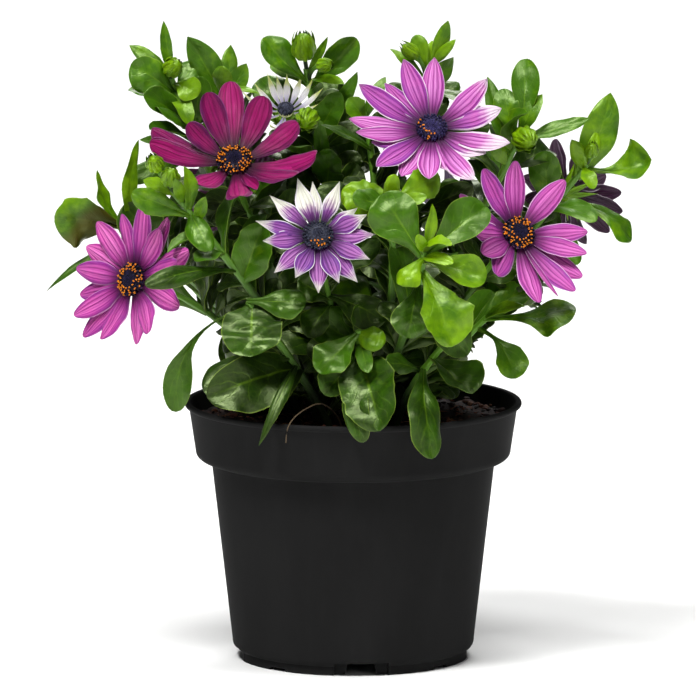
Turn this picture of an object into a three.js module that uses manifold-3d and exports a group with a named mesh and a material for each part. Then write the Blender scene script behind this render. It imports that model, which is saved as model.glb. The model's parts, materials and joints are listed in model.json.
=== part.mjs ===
// A flowering osteospermum in its 13 cm nursery pot.
// Millimetres, +Z up. The origin is on the ground at the middle of the pot's foot, and the
// plant's best side looks along -Y.

import * as THREE from 'three';
import { mergeVertices } from 'three/addons/utils/BufferGeometryUtils.js';
import Module from 'manifold-3d';

const wasm = await Module();
wasm.setup();

// ---------------------------------------------------------------- driving dimensions

const POT = {
  height: 100,
  lipRadius: 65,
  lipHeight: 2.2,
  bandTopRadius: 63.2,
  bandBottomRadius: 60.8,
  bandBottom: 81,
  bodyTopRadius: 54.6,
  bodyTop: 76.7,
  bodyBottomRadius: 46.7,
  bodyBottom: 7.4,
  footRadius: 44.5,
  footTop: 3.5,
  footWidth: 2,
  floorUnderside: 5.6,
  floorTop: 6.8,
  wall: 1.2,
  shoulderEdge: 3, // how far the flat under the band reaches out before its corner rounds
  shoulderRise: 0.7,
  chamfer: 0.6,
  sides: 24,
};
const NOTCH = { turn: 4, width: 21, height: 5, shallowWidth: 7.5, shallowHeight: 1.2 };
const CHEEK = { inside: 4.6, insideFoot: 6.1, outside: 10.3, depth: 3.2 };
const DRAIN = { count: 4, radius: 4.5, ring: 30, sides: 6 };
const SOIL = { level: 93, swell: 1.6, clearance: 0.5, rings: [36, 0], peak: 0.5 };
const HOLE = { radius: 3.9, depth: 0.75, reach: 14 }; // a square hole in the soil, round a stem

const CLEARANCE = 0.35; // between two pieces that grow past each other
const OWN_CLEARANCE = 0.15; // between two leaves of one shoot
const LEAF_THICKNESS = [1.7, 1.15, 1, 0.9]; // at the midrib, from the stalk outwards
const PETAL_THICKNESS = [1.25, 0.9, 0.8];
const ROOT_DEPTH = 0.4; // how far a leaf starts behind the middle of its stem
const STEM_RADIUS = 1.7;
const PEDUNCLE_RADIUS = 1.5; // a stem that carries a flower
const BRANCH_RADIUS = 1.2;
const BUD_STALK_RADIUS = 0.95;
const ROOT_Z = 86; // every stem starts here, in its hole in the soil
const STEM_STEPS = 5;
const BRANCH_STEPS = 4;
const STEM_SIDES = 4;

// Flower head, measured along its own axis from the plane that the petals lie in.
const HEAD = {
  hubInner: 2.2,
  hubOuter: 6.8,
  hubTop: 0.2,
  hubBottom: -1.3,
  rootRadius: 3.2,
  rootLevels: [-0.34, -0.76],
  discFoot: 0.55,
  approach: 34, // how far below the head its stem comes into line with it
  footPerCup: 0.02, // the disc stands higher over petals that rise, by their degrees
  discRadius: 6,
  cupTop: -1.65,
  cupRadius: 4.4,
  cupLength: 6.5,
};

// The planting lists give heights as seen from in front and a little above: of two points at
// one height, the one a millimetre further back reads SIGHT_FALL higher.
const SIGHT_FALL = 0.157;

const GOLDEN_TURN = THREE.MathUtils.degToRad(137.5);
const FILL = { arch: 0.14, firstSeed: 101, seedStep: 37 }; // leaves placed by rule
// outline: the foliage's own outline as it reads from in front, inside its longest tips.
const CROWN = {
  centre: new THREE.Vector3(0, 2, 158),
  reach: new THREE.Vector3(88, 78, 72),
  outline: [[-48, 100], [-52, 122], [-52, 134], [-64, 148], [-84, 158], [-92, 172], [-82, 186],
    [-78, 208], [-72, 224], [-52, 226], [-34, 230], [-10, 229], [12, 222], [34, 228], [60, 218],
    [82, 202], [98, 188], [96, 172], [84, 160], [78, 138], [52, 128], [47, 118], [44, 100]],
};

// ---------------------------------------------------------------- small helpers

const vector = (x, y, z) => new THREE.Vector3(x, y, z);
const radians = (degrees) => THREE.MathUtils.degToRad(degrees);
const front = (x, height, depth) => vector(x, depth, height - SIGHT_FALL * depth);
const ground = (x, y) => vector(x, y, ROOT_Z);

function randomSource(seed) {
  let state = seed;
  return () => {
    state = (state * 16807) % 2147483647;
    return state / 2147483647;
  };
}

function interpolate(table, at) {
  for (let i = 1; i < table.length; i += 1) {
    const [x0, y0] = table[i - 1];
    const [x1, y1] = table[i];
    if (at <= x1) return y0 + ((y1 - y0) * (at - x0)) / (x1 - x0);
  }
  return table[table.length - 1][1];
}

// A closed geometry as a solid whose faces point out.
function solidOf(geometry) {
  const bare = geometry.clone();
  bare.deleteAttribute('normal');
  bare.deleteAttribute('uv');
  const merged = mergeVertices(bare, 1e-4);
  const vertProperties = new Float32Array(merged.attributes.position.array);
  const triVerts = new Uint32Array(merged.index.array);
  const build = () => new wasm.Manifold(new wasm.Mesh({ numProp: 3, vertProperties, triVerts }));
  let solid = build();
  if (solid.volume() < 0) {
    for (let i = 0; i < triVerts.length; i += 3) {
      [triVerts[i], triVerts[i + 1]] = [triVerts[i + 1], triVerts[i]];
    }
    solid = build();
  }
  return solid;
}

function geometryOf(solid) {
  const { vertProperties, triVerts, numProp } = solid.getMesh();
  const positions = new Float32Array((vertProperties.length / numProp) * 3);
  for (let i = 0; i < positions.length / 3; i += 1) {
    for (let k = 0; k < 3; k += 1) positions[3 * i + k] = vertProperties[numProp * i + k];
  }
  const geometry = new THREE.BufferGeometry();
  geometry.setAttribute('position', new THREE.BufferAttribute(positions, 3));
  geometry.setIndex(new THREE.BufferAttribute(new Uint32Array(triVerts), 1));
  geometry.computeVertexNormals();
  return geometry;
}

const union = (solids) => wasm.Manifold.union(solids);

// Loose crumbs that a join can leave are dropped, and the main body stays.
function mainBody(solid) {
  const bodies = solid.decompose();
  return bodies.reduce((best, body) => (body.volume() > best.volume() ? body : best));
}

function turned(points, sides) {
  const geometry = new THREE.LatheGeometry(points, sides);
  geometry.rotateX(Math.PI / 2);
  return geometry;
}

function regularShape(radius, sides) {
  const shape = new THREE.Shape();
  for (let i = 0; i < sides; i += 1) {
    const angle = (2 * Math.PI * i) / sides;
    const x = radius * Math.cos(angle);
    const y = radius * Math.sin(angle);
    if (i === 0) shape.moveTo(x, y);
    else shape.lineTo(x, y);
  }
  shape.closePath();
  return shape;
}

function tube(curve, radius, steps, sides = STEM_SIDES) {
  const geometry = new THREE.ExtrudeGeometry(regularShape(radius, sides), {
    steps,
    bevelEnabled: false,
    extrudePath: curve,
  });
  return solidOf(geometry);
}

// ---------------------------------------------------------------- pot

function potProfile(offset) {
  // offset 0 is the pot's own wall; a positive one gives the soil's side, clear of the wall
  const inner = POT.wall + offset;
  return [
    new THREE.Vector2(POT.bodyBottomRadius - inner, POT.floorTop + offset),
    new THREE.Vector2(POT.bodyTopRadius - inner, POT.bodyTop + POT.wall + offset),
    new THREE.Vector2(POT.bandBottomRadius - inner - POT.wall, POT.bodyTop + 2 * POT.wall + offset),
    new THREE.Vector2(POT.bandBottomRadius - inner, POT.bandBottom + POT.wall + offset),
  ];
}

function potSolid() {
  const outer = new THREE.Path();
  outer.moveTo(0, POT.floorUnderside);
  outer.lineTo(POT.footRadius - POT.footWidth, POT.floorUnderside);
  outer.lineTo(POT.footRadius - POT.footWidth, 0);
  outer.lineTo(POT.footRadius, 0);
  outer.lineTo(POT.footRadius, POT.footTop);
  outer.quadraticCurveTo(
    POT.bodyBottomRadius,
    POT.footTop + POT.chamfer,
    POT.bodyBottomRadius,
    POT.bodyBottom,
  );
  outer.lineTo(POT.bodyTopRadius, POT.bodyTop);
  outer.lineTo(POT.bodyTopRadius + POT.shoulderEdge, POT.bodyTop + POT.shoulderRise);
  outer.quadraticCurveTo(
    POT.bandBottomRadius,
    POT.bodyTop + 2 * POT.shoulderRise,
    POT.bandBottomRadius,
    POT.bandBottom,
  );
  outer.lineTo(POT.bandTopRadius, POT.height - POT.lipHeight - POT.chamfer);
  outer.lineTo(POT.lipRadius, POT.height - POT.lipHeight + POT.chamfer);
  outer.lineTo(POT.lipRadius, POT.height - POT.chamfer);
  outer.lineTo(POT.lipRadius - POT.chamfer, POT.height);
  outer.lineTo(POT.bandTopRadius - POT.chamfer, POT.height);
  const points = outer.getPoints(2);
  points.push(...potProfile(0).reverse(), new THREE.Vector2(0, POT.floorTop));
  let pot = solidOf(turned(points, POT.sides));

  for (let quarter = 0; quarter < 4; quarter += 1) {
    const turn = radians(NOTCH.turn + 90 * quarter);
    const cheeks = [-1, 1].map((hand) => footCheek(hand, turn));
    pot = pot.subtract(footNotch(NOTCH.width, NOTCH.height, turn)).add(union(cheeks));
    const between = turn + Math.PI / 4;
    pot = pot.subtract(footNotch(NOTCH.shallowWidth, NOTCH.shallowHeight, between));
  }
  for (let i = 0; i < DRAIN.count; i += 1) {
    const hole = new THREE.CylinderGeometry(DRAIN.radius, DRAIN.radius, 8, DRAIN.sides);
    hole.rotateX(Math.PI / 2);
    hole.translate(DRAIN.ring, 0, POT.floorTop);
    hole.rotateZ(((i + 0.5) * 2 * Math.PI) / DRAIN.count);
    pot = pot.subtract(solidOf(hole));
  }
  return pot;
}

// turn is counted from the front, -Y, towards +X
function footNotch(width, height, turn) {
  const reach = 8;
  const block = new THREE.BoxGeometry(width, reach, height + 1);
  block.translate(0, -POT.footRadius, (height - 1) / 2);
  block.rotateZ(turn);
  return solidOf(block);
}

// A short sloping web that stands inside each side of a wide notch.
function footCheek(hand, turn) {
  const shape = new THREE.Shape();
  shape.moveTo(CHEEK.insideFoot, 0.4);
  shape.lineTo(CHEEK.outside, 0.4);
  shape.lineTo(CHEEK.outside, POT.floorUnderside + 0.4);
  shape.lineTo(CHEEK.inside, POT.floorUnderside + 0.4);
  shape.closePath();
  const web = new THREE.ExtrudeGeometry(shape, { depth: CHEEK.depth, bevelEnabled: false });
  web.rotateX(Math.PI / 2);
  if (hand < 0) web.scale(-1, 1, 1);
  web.translate(0, -(POT.footRadius - POT.footWidth - CHEEK.depth), 0);
  web.rotateZ(turn);
  return solidOf(web);
}

// ---------------------------------------------------------------- soil

function soilRelief(x, y) {
  return (
    0.9 * Math.sin(0.19 * x + 0.4) * Math.cos(0.23 * y - 0.9) +
    0.7 * Math.sin(0.41 * x - 0.33 * y + 1.7)
  );
}

// A straight square hole along the first straight piece of a stem of so many steps.
function stemHole(curve, steps) {
  const start = curve.getPoint(0);
  const way = curve.getPointAt(1 / steps).sub(start).normalize();
  const bottom = start.clone().addScaledVector(way, -HOLE.depth);
  const top = start.clone().addScaledVector(way, HOLE.reach);
  return tube(new THREE.LineCurve3(bottom, top), HOLE.radius, 1);
}

function soilSolid(holes) {
  const side = potProfile(SOIL.clearance);
  const rimRadius = side[side.length - 1].x + POT.wall;
  const points = [new THREE.Vector2(0, POT.floorTop + SOIL.clearance), ...side];
  points.push(new THREE.Vector2(rimRadius, SOIL.level));
  for (const radius of SOIL.rings) {
    points.push(new THREE.Vector2(radius, SOIL.level + SOIL.swell * (1 - radius / rimRadius)));
  }
  const geometry = turned(points, POT.sides);
  const position = geometry.attributes.position;
  for (let i = 0; i < position.count; i += 1) {
    const radius = Math.hypot(position.getX(i), position.getY(i));
    if (position.getZ(i) > SOIL.level - 1 && radius < rimRadius - 1) {
      const lift = radius < 1 ? SOIL.peak : soilRelief(position.getX(i), position.getY(i));
      position.setZ(i, position.getZ(i) + lift);
    }
  }
  return mainBody(solidOf(geometry).subtract(union(holes)));
}

// ---------------------------------------------------------------- blades: leaves and petals

const LEAF_OUTLINES = {
  broad: [[0, 0.14], [0.2, 0.24], [0.42, 0.62], [0.62, 0.98], [0.8, 0.94], [0.93, 0.6], [1, 0]],
  oval: [[0, 0.2], [0.12, 0.5], [0.32, 0.93], [0.55, 1], [0.8, 0.88], [0.93, 0.55], [1, 0]],
  lance: [[0, 0.3], [0.2, 0.56], [0.45, 0.95], [0.6, 1], [0.8, 0.72], [0.93, 0.36], [1, 0]],
  spoon: [[0, 0.12], [0.35, 0.17], [0.55, 0.5], [0.72, 0.95], [0.86, 1], [0.95, 0.7], [1, 0]],
};
const PETAL_OUTLINE = [[0, 0.1], [0.34, 0.46], [0.6, 0.96], [0.76, 1], [0.9, 0.72], [1, 0]];
const POINTED_OUTLINE = [[0, 0.1], [0.34, 0.5], [0.55, 1], [0.7, 0.92], [0.87, 0.45], [1, 0]];

const LONG_STATIONS = [0.24, 0.48, 0.72, 0.9];
const MIDDLE_STATIONS = [0.3, 0.6, 0.86];
const SHORT_STATIONS = [0.42, 0.8];
const OUTER_START = 0.32; // the rest may touch its neighbours on the stem
const OUTER_STATIONS = [0.52, 0.84];
const PETAL_STATIONS = [0.34, 0.66, 0.89];
const SMALL_PETAL_STATIONS = [0.45, 0.84];
const TOOTH = 0.07;
const LEAF_FOLD = 0.16;
const LEAF_RIPPLE = 0.07;
const PETAL_FALL = 0.1;
const LAYER_CUP = 4; // degrees that the upper petals stand above the ring, and the lower below
const LONG_LEAF = 30;
const SHORT_LEAF = 16;

// Cross-sections, from one edge over the upper face to the other: [out, up] of each point.
const leafSection = (half, thick, wave) => [
  [half, LEAF_FOLD * half + wave], [0, thick], [-half, LEAF_FOLD * half - wave], [0, -thick]];
const petalSection = (half, thick) => [
  [half, -PETAL_FALL * half], [0, thick], [-half, -PETAL_FALL * half]];

// The spine is a curve from root to tip. side points across the blade and the blade's upper
// face is on side x tangent. Every face is split alike, between a point at each end.
function bladeSolid(spine, side, width, outline, stations, thickness, section, root = 0) {
  const points = [spine.getPoint(root)];
  const out = vector(0, 0, 0);
  stations.forEach((at, index) => {
    const centre = spine.getPoint(at);
    const tangent = spine.getTangent(at);
    const normal = vector(0, 0, 0).crossVectors(side, tangent).normalize();
    out.crossVectors(tangent, normal).normalize();
    const half = (width / 2) * interpolate(outline, at);
    const hand = index % 2 === 0 ? 1 : -1;
    const thick = thickness[Math.min(index, thickness.length - 1)] / 2;
    for (const [sideways, up] of section(half, thick, LEAF_RIPPLE * half * hand)) {
      const reach = sideways * (1 + Math.sign(sideways) * hand * TOOTH);
      points.push(centre.clone().addScaledVector(out, reach).addScaledVector(normal, up));
    }
  });
  const tip = points.push(spine.getPoint(1)) - 1;

  const ring = (tip - 1) / stations.length;
  const triangles = [];
  for (let k = 0; k < ring; k += 1) {
    const beside = (k + 1) % ring;
    triangles.push(0, 1 + beside, 1 + k, tip, tip - ring + k, tip - ring + beside);
  }
  for (let near = 1; near < tip - ring; near += ring) {
    for (let k = 0; k < ring; k += 1) {
      const here = near + k;
      const beside = near + ((k + 1) % ring);
      // the diagonal runs from the edge to the next midrib point on both faces
      const ahead = here + ring;
      const across = beside + ring;
      if (k % 2 === 0) triangles.push(here, beside, across, here, across, ahead);
      else triangles.push(beside, ahead, here, beside, across, ahead);
    }
  }

  const geometry = new THREE.BufferGeometry().setFromPoints(points);
  geometry.setIndex(triangles);
  return solidOf(geometry);
}

// How a leaf lies: along, across and out of its upper face.
function leafLie(base, tip, facing) {
  const along = tip.clone().sub(base);
  const length = along.length();
  along.normalize();
  const up = facing.clone().addScaledVector(along, -facing.dot(along));
  if (up.length() < 0.05) up.set(along.z, 0, -along.x);
  up.normalize();
  const across = vector(0, 0, 0).crossVectors(along, up);
  return { base, along, up, across, length };
}

// The leaf turned about its base, up or down by pitch and sideways by yaw.
function bentLie(lie, pitch, yaw) {
  const along = lie.along.clone().multiplyScalar(Math.cos(pitch));
  along.addScaledVector(lie.up, Math.sin(pitch));
  const up = lie.up.clone().multiplyScalar(Math.cos(pitch));
  up.addScaledVector(lie.along, -Math.sin(pitch));
  const turnedAlong = along.clone().multiplyScalar(Math.cos(yaw));
  turnedAlong.addScaledVector(lie.across, Math.sin(yaw));
  const across = lie.across.clone().multiplyScalar(Math.cos(yaw));
  across.addScaledVector(along, -Math.sin(yaw));
  return { ...lie, along: turnedAlong, up, across };
}

function leafSpine(lie, arch, sweep, length) {
  const bend = lie.base.clone().addScaledVector(lie.along, 0.48 * length);
  bend.addScaledVector(lie.up, arch * length).addScaledVector(lie.across, sweep * length);
  const tip = lie.base.clone().addScaledVector(lie.along, length);
  const root = lie.base.clone().addScaledVector(lie.along, -ROOT_DEPTH);
  return new THREE.QuadraticBezierCurve3(root, bend, tip);
}

function leafSolids(lie, leaf, scale) {
  const length = lie.length * scale;
  const width = leaf.width * scale;
  const spine = leafSpine(lie, leaf.arch, leaf.sweep, length);
  let stations = MIDDLE_STATIONS;
  if (length > LONG_LEAF) stations = LONG_STATIONS;
  if (length < SHORT_LEAF || leaf.filler) stations = SHORT_STATIONS;
  const outline = LEAF_OUTLINES[leaf.kind];
  const shape = (at, root) =>
    bladeSolid(spine, lie.across, width, outline, at, LEAF_THICKNESS, leafSection, root);
  return { whole: shape(stations, 0), outer: shape(OUTER_STATIONS, OUTER_START) };
}

// ---------------------------------------------------------------- flower heads

function headFrame(centre, axis) {
  const right = vector(0, 0, 0).crossVectors(vector(0, 0, 1), axis).normalize().negate();
  const up = vector(0, 0, 0).crossVectors(axis, right).normalize().negate();
  return { centre, axis, right, up };
}

// A point of a head: out from its axis by radius at an angle, and forward along the axis.
function headPoint(head, radius, angle, forward) {
  return head.centre
    .clone()
    .addScaledVector(head.right, radius * Math.cos(angle))
    .addScaledVector(head.up, radius * Math.sin(angle))
    .addScaledVector(head.axis, forward);
}

function headLathe(head, profile, sides, relief) {
  const geometry = new THREE.LatheGeometry(
    profile.map(([radius, forward]) => new THREE.Vector2(radius, forward)),
    sides,
  );
  const position = geometry.attributes.position;
  for (let i = 0; i < position.count; i += 1) {
    const x = position.getX(i);
    const z = position.getZ(i);
    const radius = Math.hypot(x, z);
    const angle = Math.atan2(z, x);
    const forward = position.getY(i) + (relief ? relief(radius, angle, position.getY(i)) : 0);
    const point = headPoint(head, radius, angle, forward);
    position.setXYZ(i, point.x, point.y, point.z);
  }
  return solidOf(geometry);
}

// The petal tip on the sight line through x and height that rises from the petal plane by cup.
function tipOnSight(head, x, height, cup) {
  const start = front(x, height, 0).sub(head.centre);
  const sight = vector(0, 1, -SIGHT_FALL);
  const reach = sight.dot(head.axis);
  const tip = vector(0, 0, 0);
  let rise = 0;
  for (let i = 0; i < 40; i += 1) {
    tip.copy(start).addScaledVector(sight, (rise - start.dot(head.axis)) / reach);
    const flat = tip.clone().addScaledVector(head.axis, -tip.dot(head.axis));
    rise = 0.5 * rise + 0.5 * Math.tan(cup) * flat.length();
  }
  return tip.add(head.centre);
}

// The petals' tips and widths, in order round the head, in an upper and a lower layer.
function petalTips(bloom, head) {
  const layerCup = (index) => radians(index % 2 === 0 ? LAYER_CUP : -LAYER_CUP);
  if (bloom.tips) {
    return bloom.tips.map(([x, height, widthFactor = 1], index) => {
      const cup = radians(bloom.cup) + layerCup(index);
      return { tip: tipOnSight(head, x, height, cup), width: bloom.petalWidth * widthFactor };
    });
  }
  const random = randomSource(bloom.seed);
  return Array.from({ length: bloom.count }, (_, index) => {
    const angle = ((index + 0.25 * random()) * 2 * Math.PI) / bloom.count;
    const cup = radians(bloom.cup) + layerCup(index);
    const length = bloom.reach * (0.93 + 0.14 * random());
    const tip = headPoint(head, length * Math.cos(cup), angle, length * Math.sin(cup));
    return { tip, width: bloom.petalWidth };
  });
}

function petalSolid(head, tip, width, rootLevel, outline, stations) {
  const offset = tip.clone().sub(head.centre);
  const outward = offset.clone().addScaledVector(head.axis, -offset.dot(head.axis)).normalize();
  const root = head.centre.clone().addScaledVector(outward, HEAD.rootRadius);
  root.addScaledVector(head.axis, rootLevel);
  const length = tip.distanceTo(root);
  const bend = root.clone().addScaledVector(outward, 0.42 * length);
  const spine = new THREE.QuadraticBezierCurve3(root, bend, tip);
  const side = vector(0, 0, 0).crossVectors(outward, head.axis).normalize();
  return bladeSolid(spine, side, width, outline, stations, PETAL_THICKNESS, petalSection);
}

function petalRing(bloom, head) {
  const { hubInner, hubOuter, hubTop, hubBottom } = HEAD;
  const profile = [[hubInner, hubBottom], [hubOuter, hubBottom], [hubOuter, hubTop],
    [hubInner, hubTop], [hubInner, hubBottom]];
  const outline = bloom.pointed ? POINTED_OUTLINE : PETAL_OUTLINE;
  const stations = bloom.plain ? SMALL_PETAL_STATIONS : PETAL_STATIONS;
  const petals = petalTips(bloom, head).map(({ tip, width }, index) =>
    petalSolid(head, tip, width, HEAD.rootLevels[index % 2], outline, stations));
  return mainBody(union([headLathe(head, profile, 8), ...petals]));
}

// A dome of tightly set florets: the outer ring stands up in beads.
function discSolid(bloom, head) {
  const radius = HEAD.discRadius * bloom.discScale;
  const foot = HEAD.discFoot + HEAD.footPerCup * bloom.cup;
  const profile = [[0, foot], [0.9 * radius, foot], [0.86 * radius, foot + 2],
    [0.5 * radius, foot + 1.5 + bloom.dome], [0, foot + 1.7 + bloom.dome]];
  const florets = 12;
  const relief = (r, angle, forward) => {
    if (r < 0.8 * radius || r > 0.9 * radius) return 0;
    return forward > foot + 1.5 ? 0.45 * Math.cos((angle * florets) / 2) : 0;
  };
  return headLathe(head, profile, florets, relief);
}

// The green cup under a head, on the end of its stalk.
function cupSolid(head) {
  const { cupTop, cupRadius, cupLength } = HEAD;
  const profile = [[0, cupTop - cupLength], [0.8 * cupRadius, cupTop - 0.6 * cupLength],
    [cupRadius, cupTop], [0, cupTop]];
  return headLathe(head, profile, 6);
}

function budSolid(base, tip, radius) {
  const axis = tip.clone().sub(base);
  const length = axis.length();
  const head = headFrame(base, axis.normalize());
  const profile = [[0, 0], [radius, 0.35 * length], [0.72 * radius, 0.82 * length],
    [0, 0.9 * length]];
  const ribs = 6;
  const relief = (r, angle, forward) =>
    (forward > 0.6 * length && r > 0.1 * radius ? 0.08 * length * Math.cos((angle * ribs) / 2) : 0);
  return headLathe(head, profile, ribs, relief);
}

// ---------------------------------------------------------------- planting lists

// A head's axis from how far it turns to the right and rises, in degrees.
function facing(turn, rise) {
  const level = Math.cos(radians(rise));
  const sideways = Math.sin(radians(turn)) * level;
  return vector(sideways, -Math.cos(radians(turn)) * level, Math.sin(radians(rise)));
}

const BLOOMS = {
  bloom_left: {
    centre: front(-84.3, 146.6, -35), axis: facing(-43, 14), cup: 6, petalWidth: 9.5,
    petals: 0xc94bb5, disc: 0x2a2440, discScale: 1, dome: 0.6,
    tips: [[-98, 169], [-88.5, 172, 0.7], [-79.5, 176.5], [-70.5, 170.5], [-73.5, 166],
      [-62.5, 157.5], [-67, 153], [-66, 136], [-78, 125.8], [-82.4, 121.6], [-96.4, 123.6],
      [-103.4, 124.6], [-106.9, 132.9], [-104.7, 141], [-106.1, 151], [-102.3, 159.6]],
  },
  bloom_magenta: {
    centre: front(-45.3, 192.1, -30), axis: facing(-4, 48), cup: 21, petalWidth: 11.5,
    petals: 0xb01c78, disc: 0x2a2440, discScale: 1.05, dome: 0.6,
    tips: [[-56, 219], [-47, 223.5], [-34, 217.5], [-21, 207], [-14.1, 194.5], [-17.3, 190.5],
      [-21.9, 186.5], [-36.5, 181, 0.7], [-43, 178.5], [-58.7, 183], [-77.5, 199],
      [-77, 204.5], [-63, 207, 0.8]],
  },
  bloom_white: {
    centre: front(-13.4, 163.3, -60), axis: facing(0, 31), cup: 3, petalWidth: 8.6, pointed: true,
    petals: 0xb88fd0, disc: 0x4a4a58, discScale: 1.05, dome: 1.6,
    tips: [[-37, 168.9], [-31.6, 178.7], [-21.1, 185.3], [-15.4, 184.2], [-5.1, 184.2],
      [1.6, 174, 0.9], [5.1, 171.3], [8.4, 163.7], [6.2, 154.1], [1.6, 145.3], [-5.4, 145],
      [-13.2, 141.2], [-21.9, 147], [-30, 148.9], [-34.3, 161.2]],
  },
  bloom_lilac: {
    centre: front(29.9, 204.8, -30), axis: facing(2, 41), cup: 12, petalWidth: 10,
    petals: 0xd668cc, disc: 0x3a3050, discScale: 1.05, dome: 0.9,
    tips: [[2.2, 221.9], [-1.6, 208.6], [1, 203.2, 0.8], [7, 199.2], [8.7, 189.8], [18.1, 186.1],
      [28.7, 185], [35.7, 188.3], [45.4, 184.7], [50.5, 195], [59.5, 199], [56.5, 212.6],
      [51.1, 224.1], [31.1, 232.6], [19.2, 231.8], [12, 222.5, 0.8]],
  },
  bloom_right: {
    centre: front(62.7, 164.2, -45), axis: facing(24, 31), cup: 11, petalWidth: 9.5,
    petals: 0xd264c8, disc: 0x241c38, discScale: 1, dome: 0.6,
    tips: [[61.7, 192.3], [49.5, 189.2], [80.7, 184.9], [89.3, 165, 0.9], [88.7, 156.5],
      [87, 147.5], [84, 142], [70.3, 137.6], [77.5, 140, 0.35], [54.3, 148.2], [48.8, 156.3],
      [46, 164.5], [40.3, 179, 0.8]],
  },
  bloom_half_open: {
    centre: front(-26, 212.5, 8), axis: facing(0, 50), cup: 30, petalWidth: 3.4, pointed: true,
    petals: 0xe6e4c8, disc: 0x3c3c48, discScale: 0.85, dome: 1.2, plain: true,
    tips: [[-43, 220.5], [-38, 223.5], [-33, 227.2], [-29.5, 226.5], [-25.5, 227], [-19.8, 226.5],
      [-15.5, 225.2], [-11.5, 221.5], [-41.5, 212.5], [-13.5, 215], [-32, 207],
      [-27, 206]],
  },
  bloom_turned_away: {
    centre: front(84, 181.8, 22), axis: facing(148, 12), cup: 10, petalWidth: 8, plain: true,
    petals: 0x5a4656, disc: 0x2a2440, discScale: 0.95, dome: 0.6,
    tips: [[103.5, 181], [104, 173.5], [97.5, 188], [90, 199], [78, 202], [72, 197], [66, 187],
      [66, 177], [71, 167], [80, 161.5], [90, 161], [99, 165.5]],
  },
  bloom_back_left: {
    centre: vector(-42, 57.5, 172), axis: facing(-150, 34), cup: 9, petalWidth: 9.5,
    petals: 0xc94bb5, disc: 0x2a2440, discScale: 1, dome: 0.6, count: 14, reach: 29, seed: 71,
    plain: true,
  },
  bloom_back_right: {
    centre: vector(46, 58, 160), axis: facing(146, 30), cup: 4, petalWidth: 8.6, pointed: true,
    petals: 0xb88fd0, disc: 0x4a4a58, discScale: 1.05, dome: 1.2, count: 14, reach: 26, seed: 37,
    plain: true,
  },
};

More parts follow.
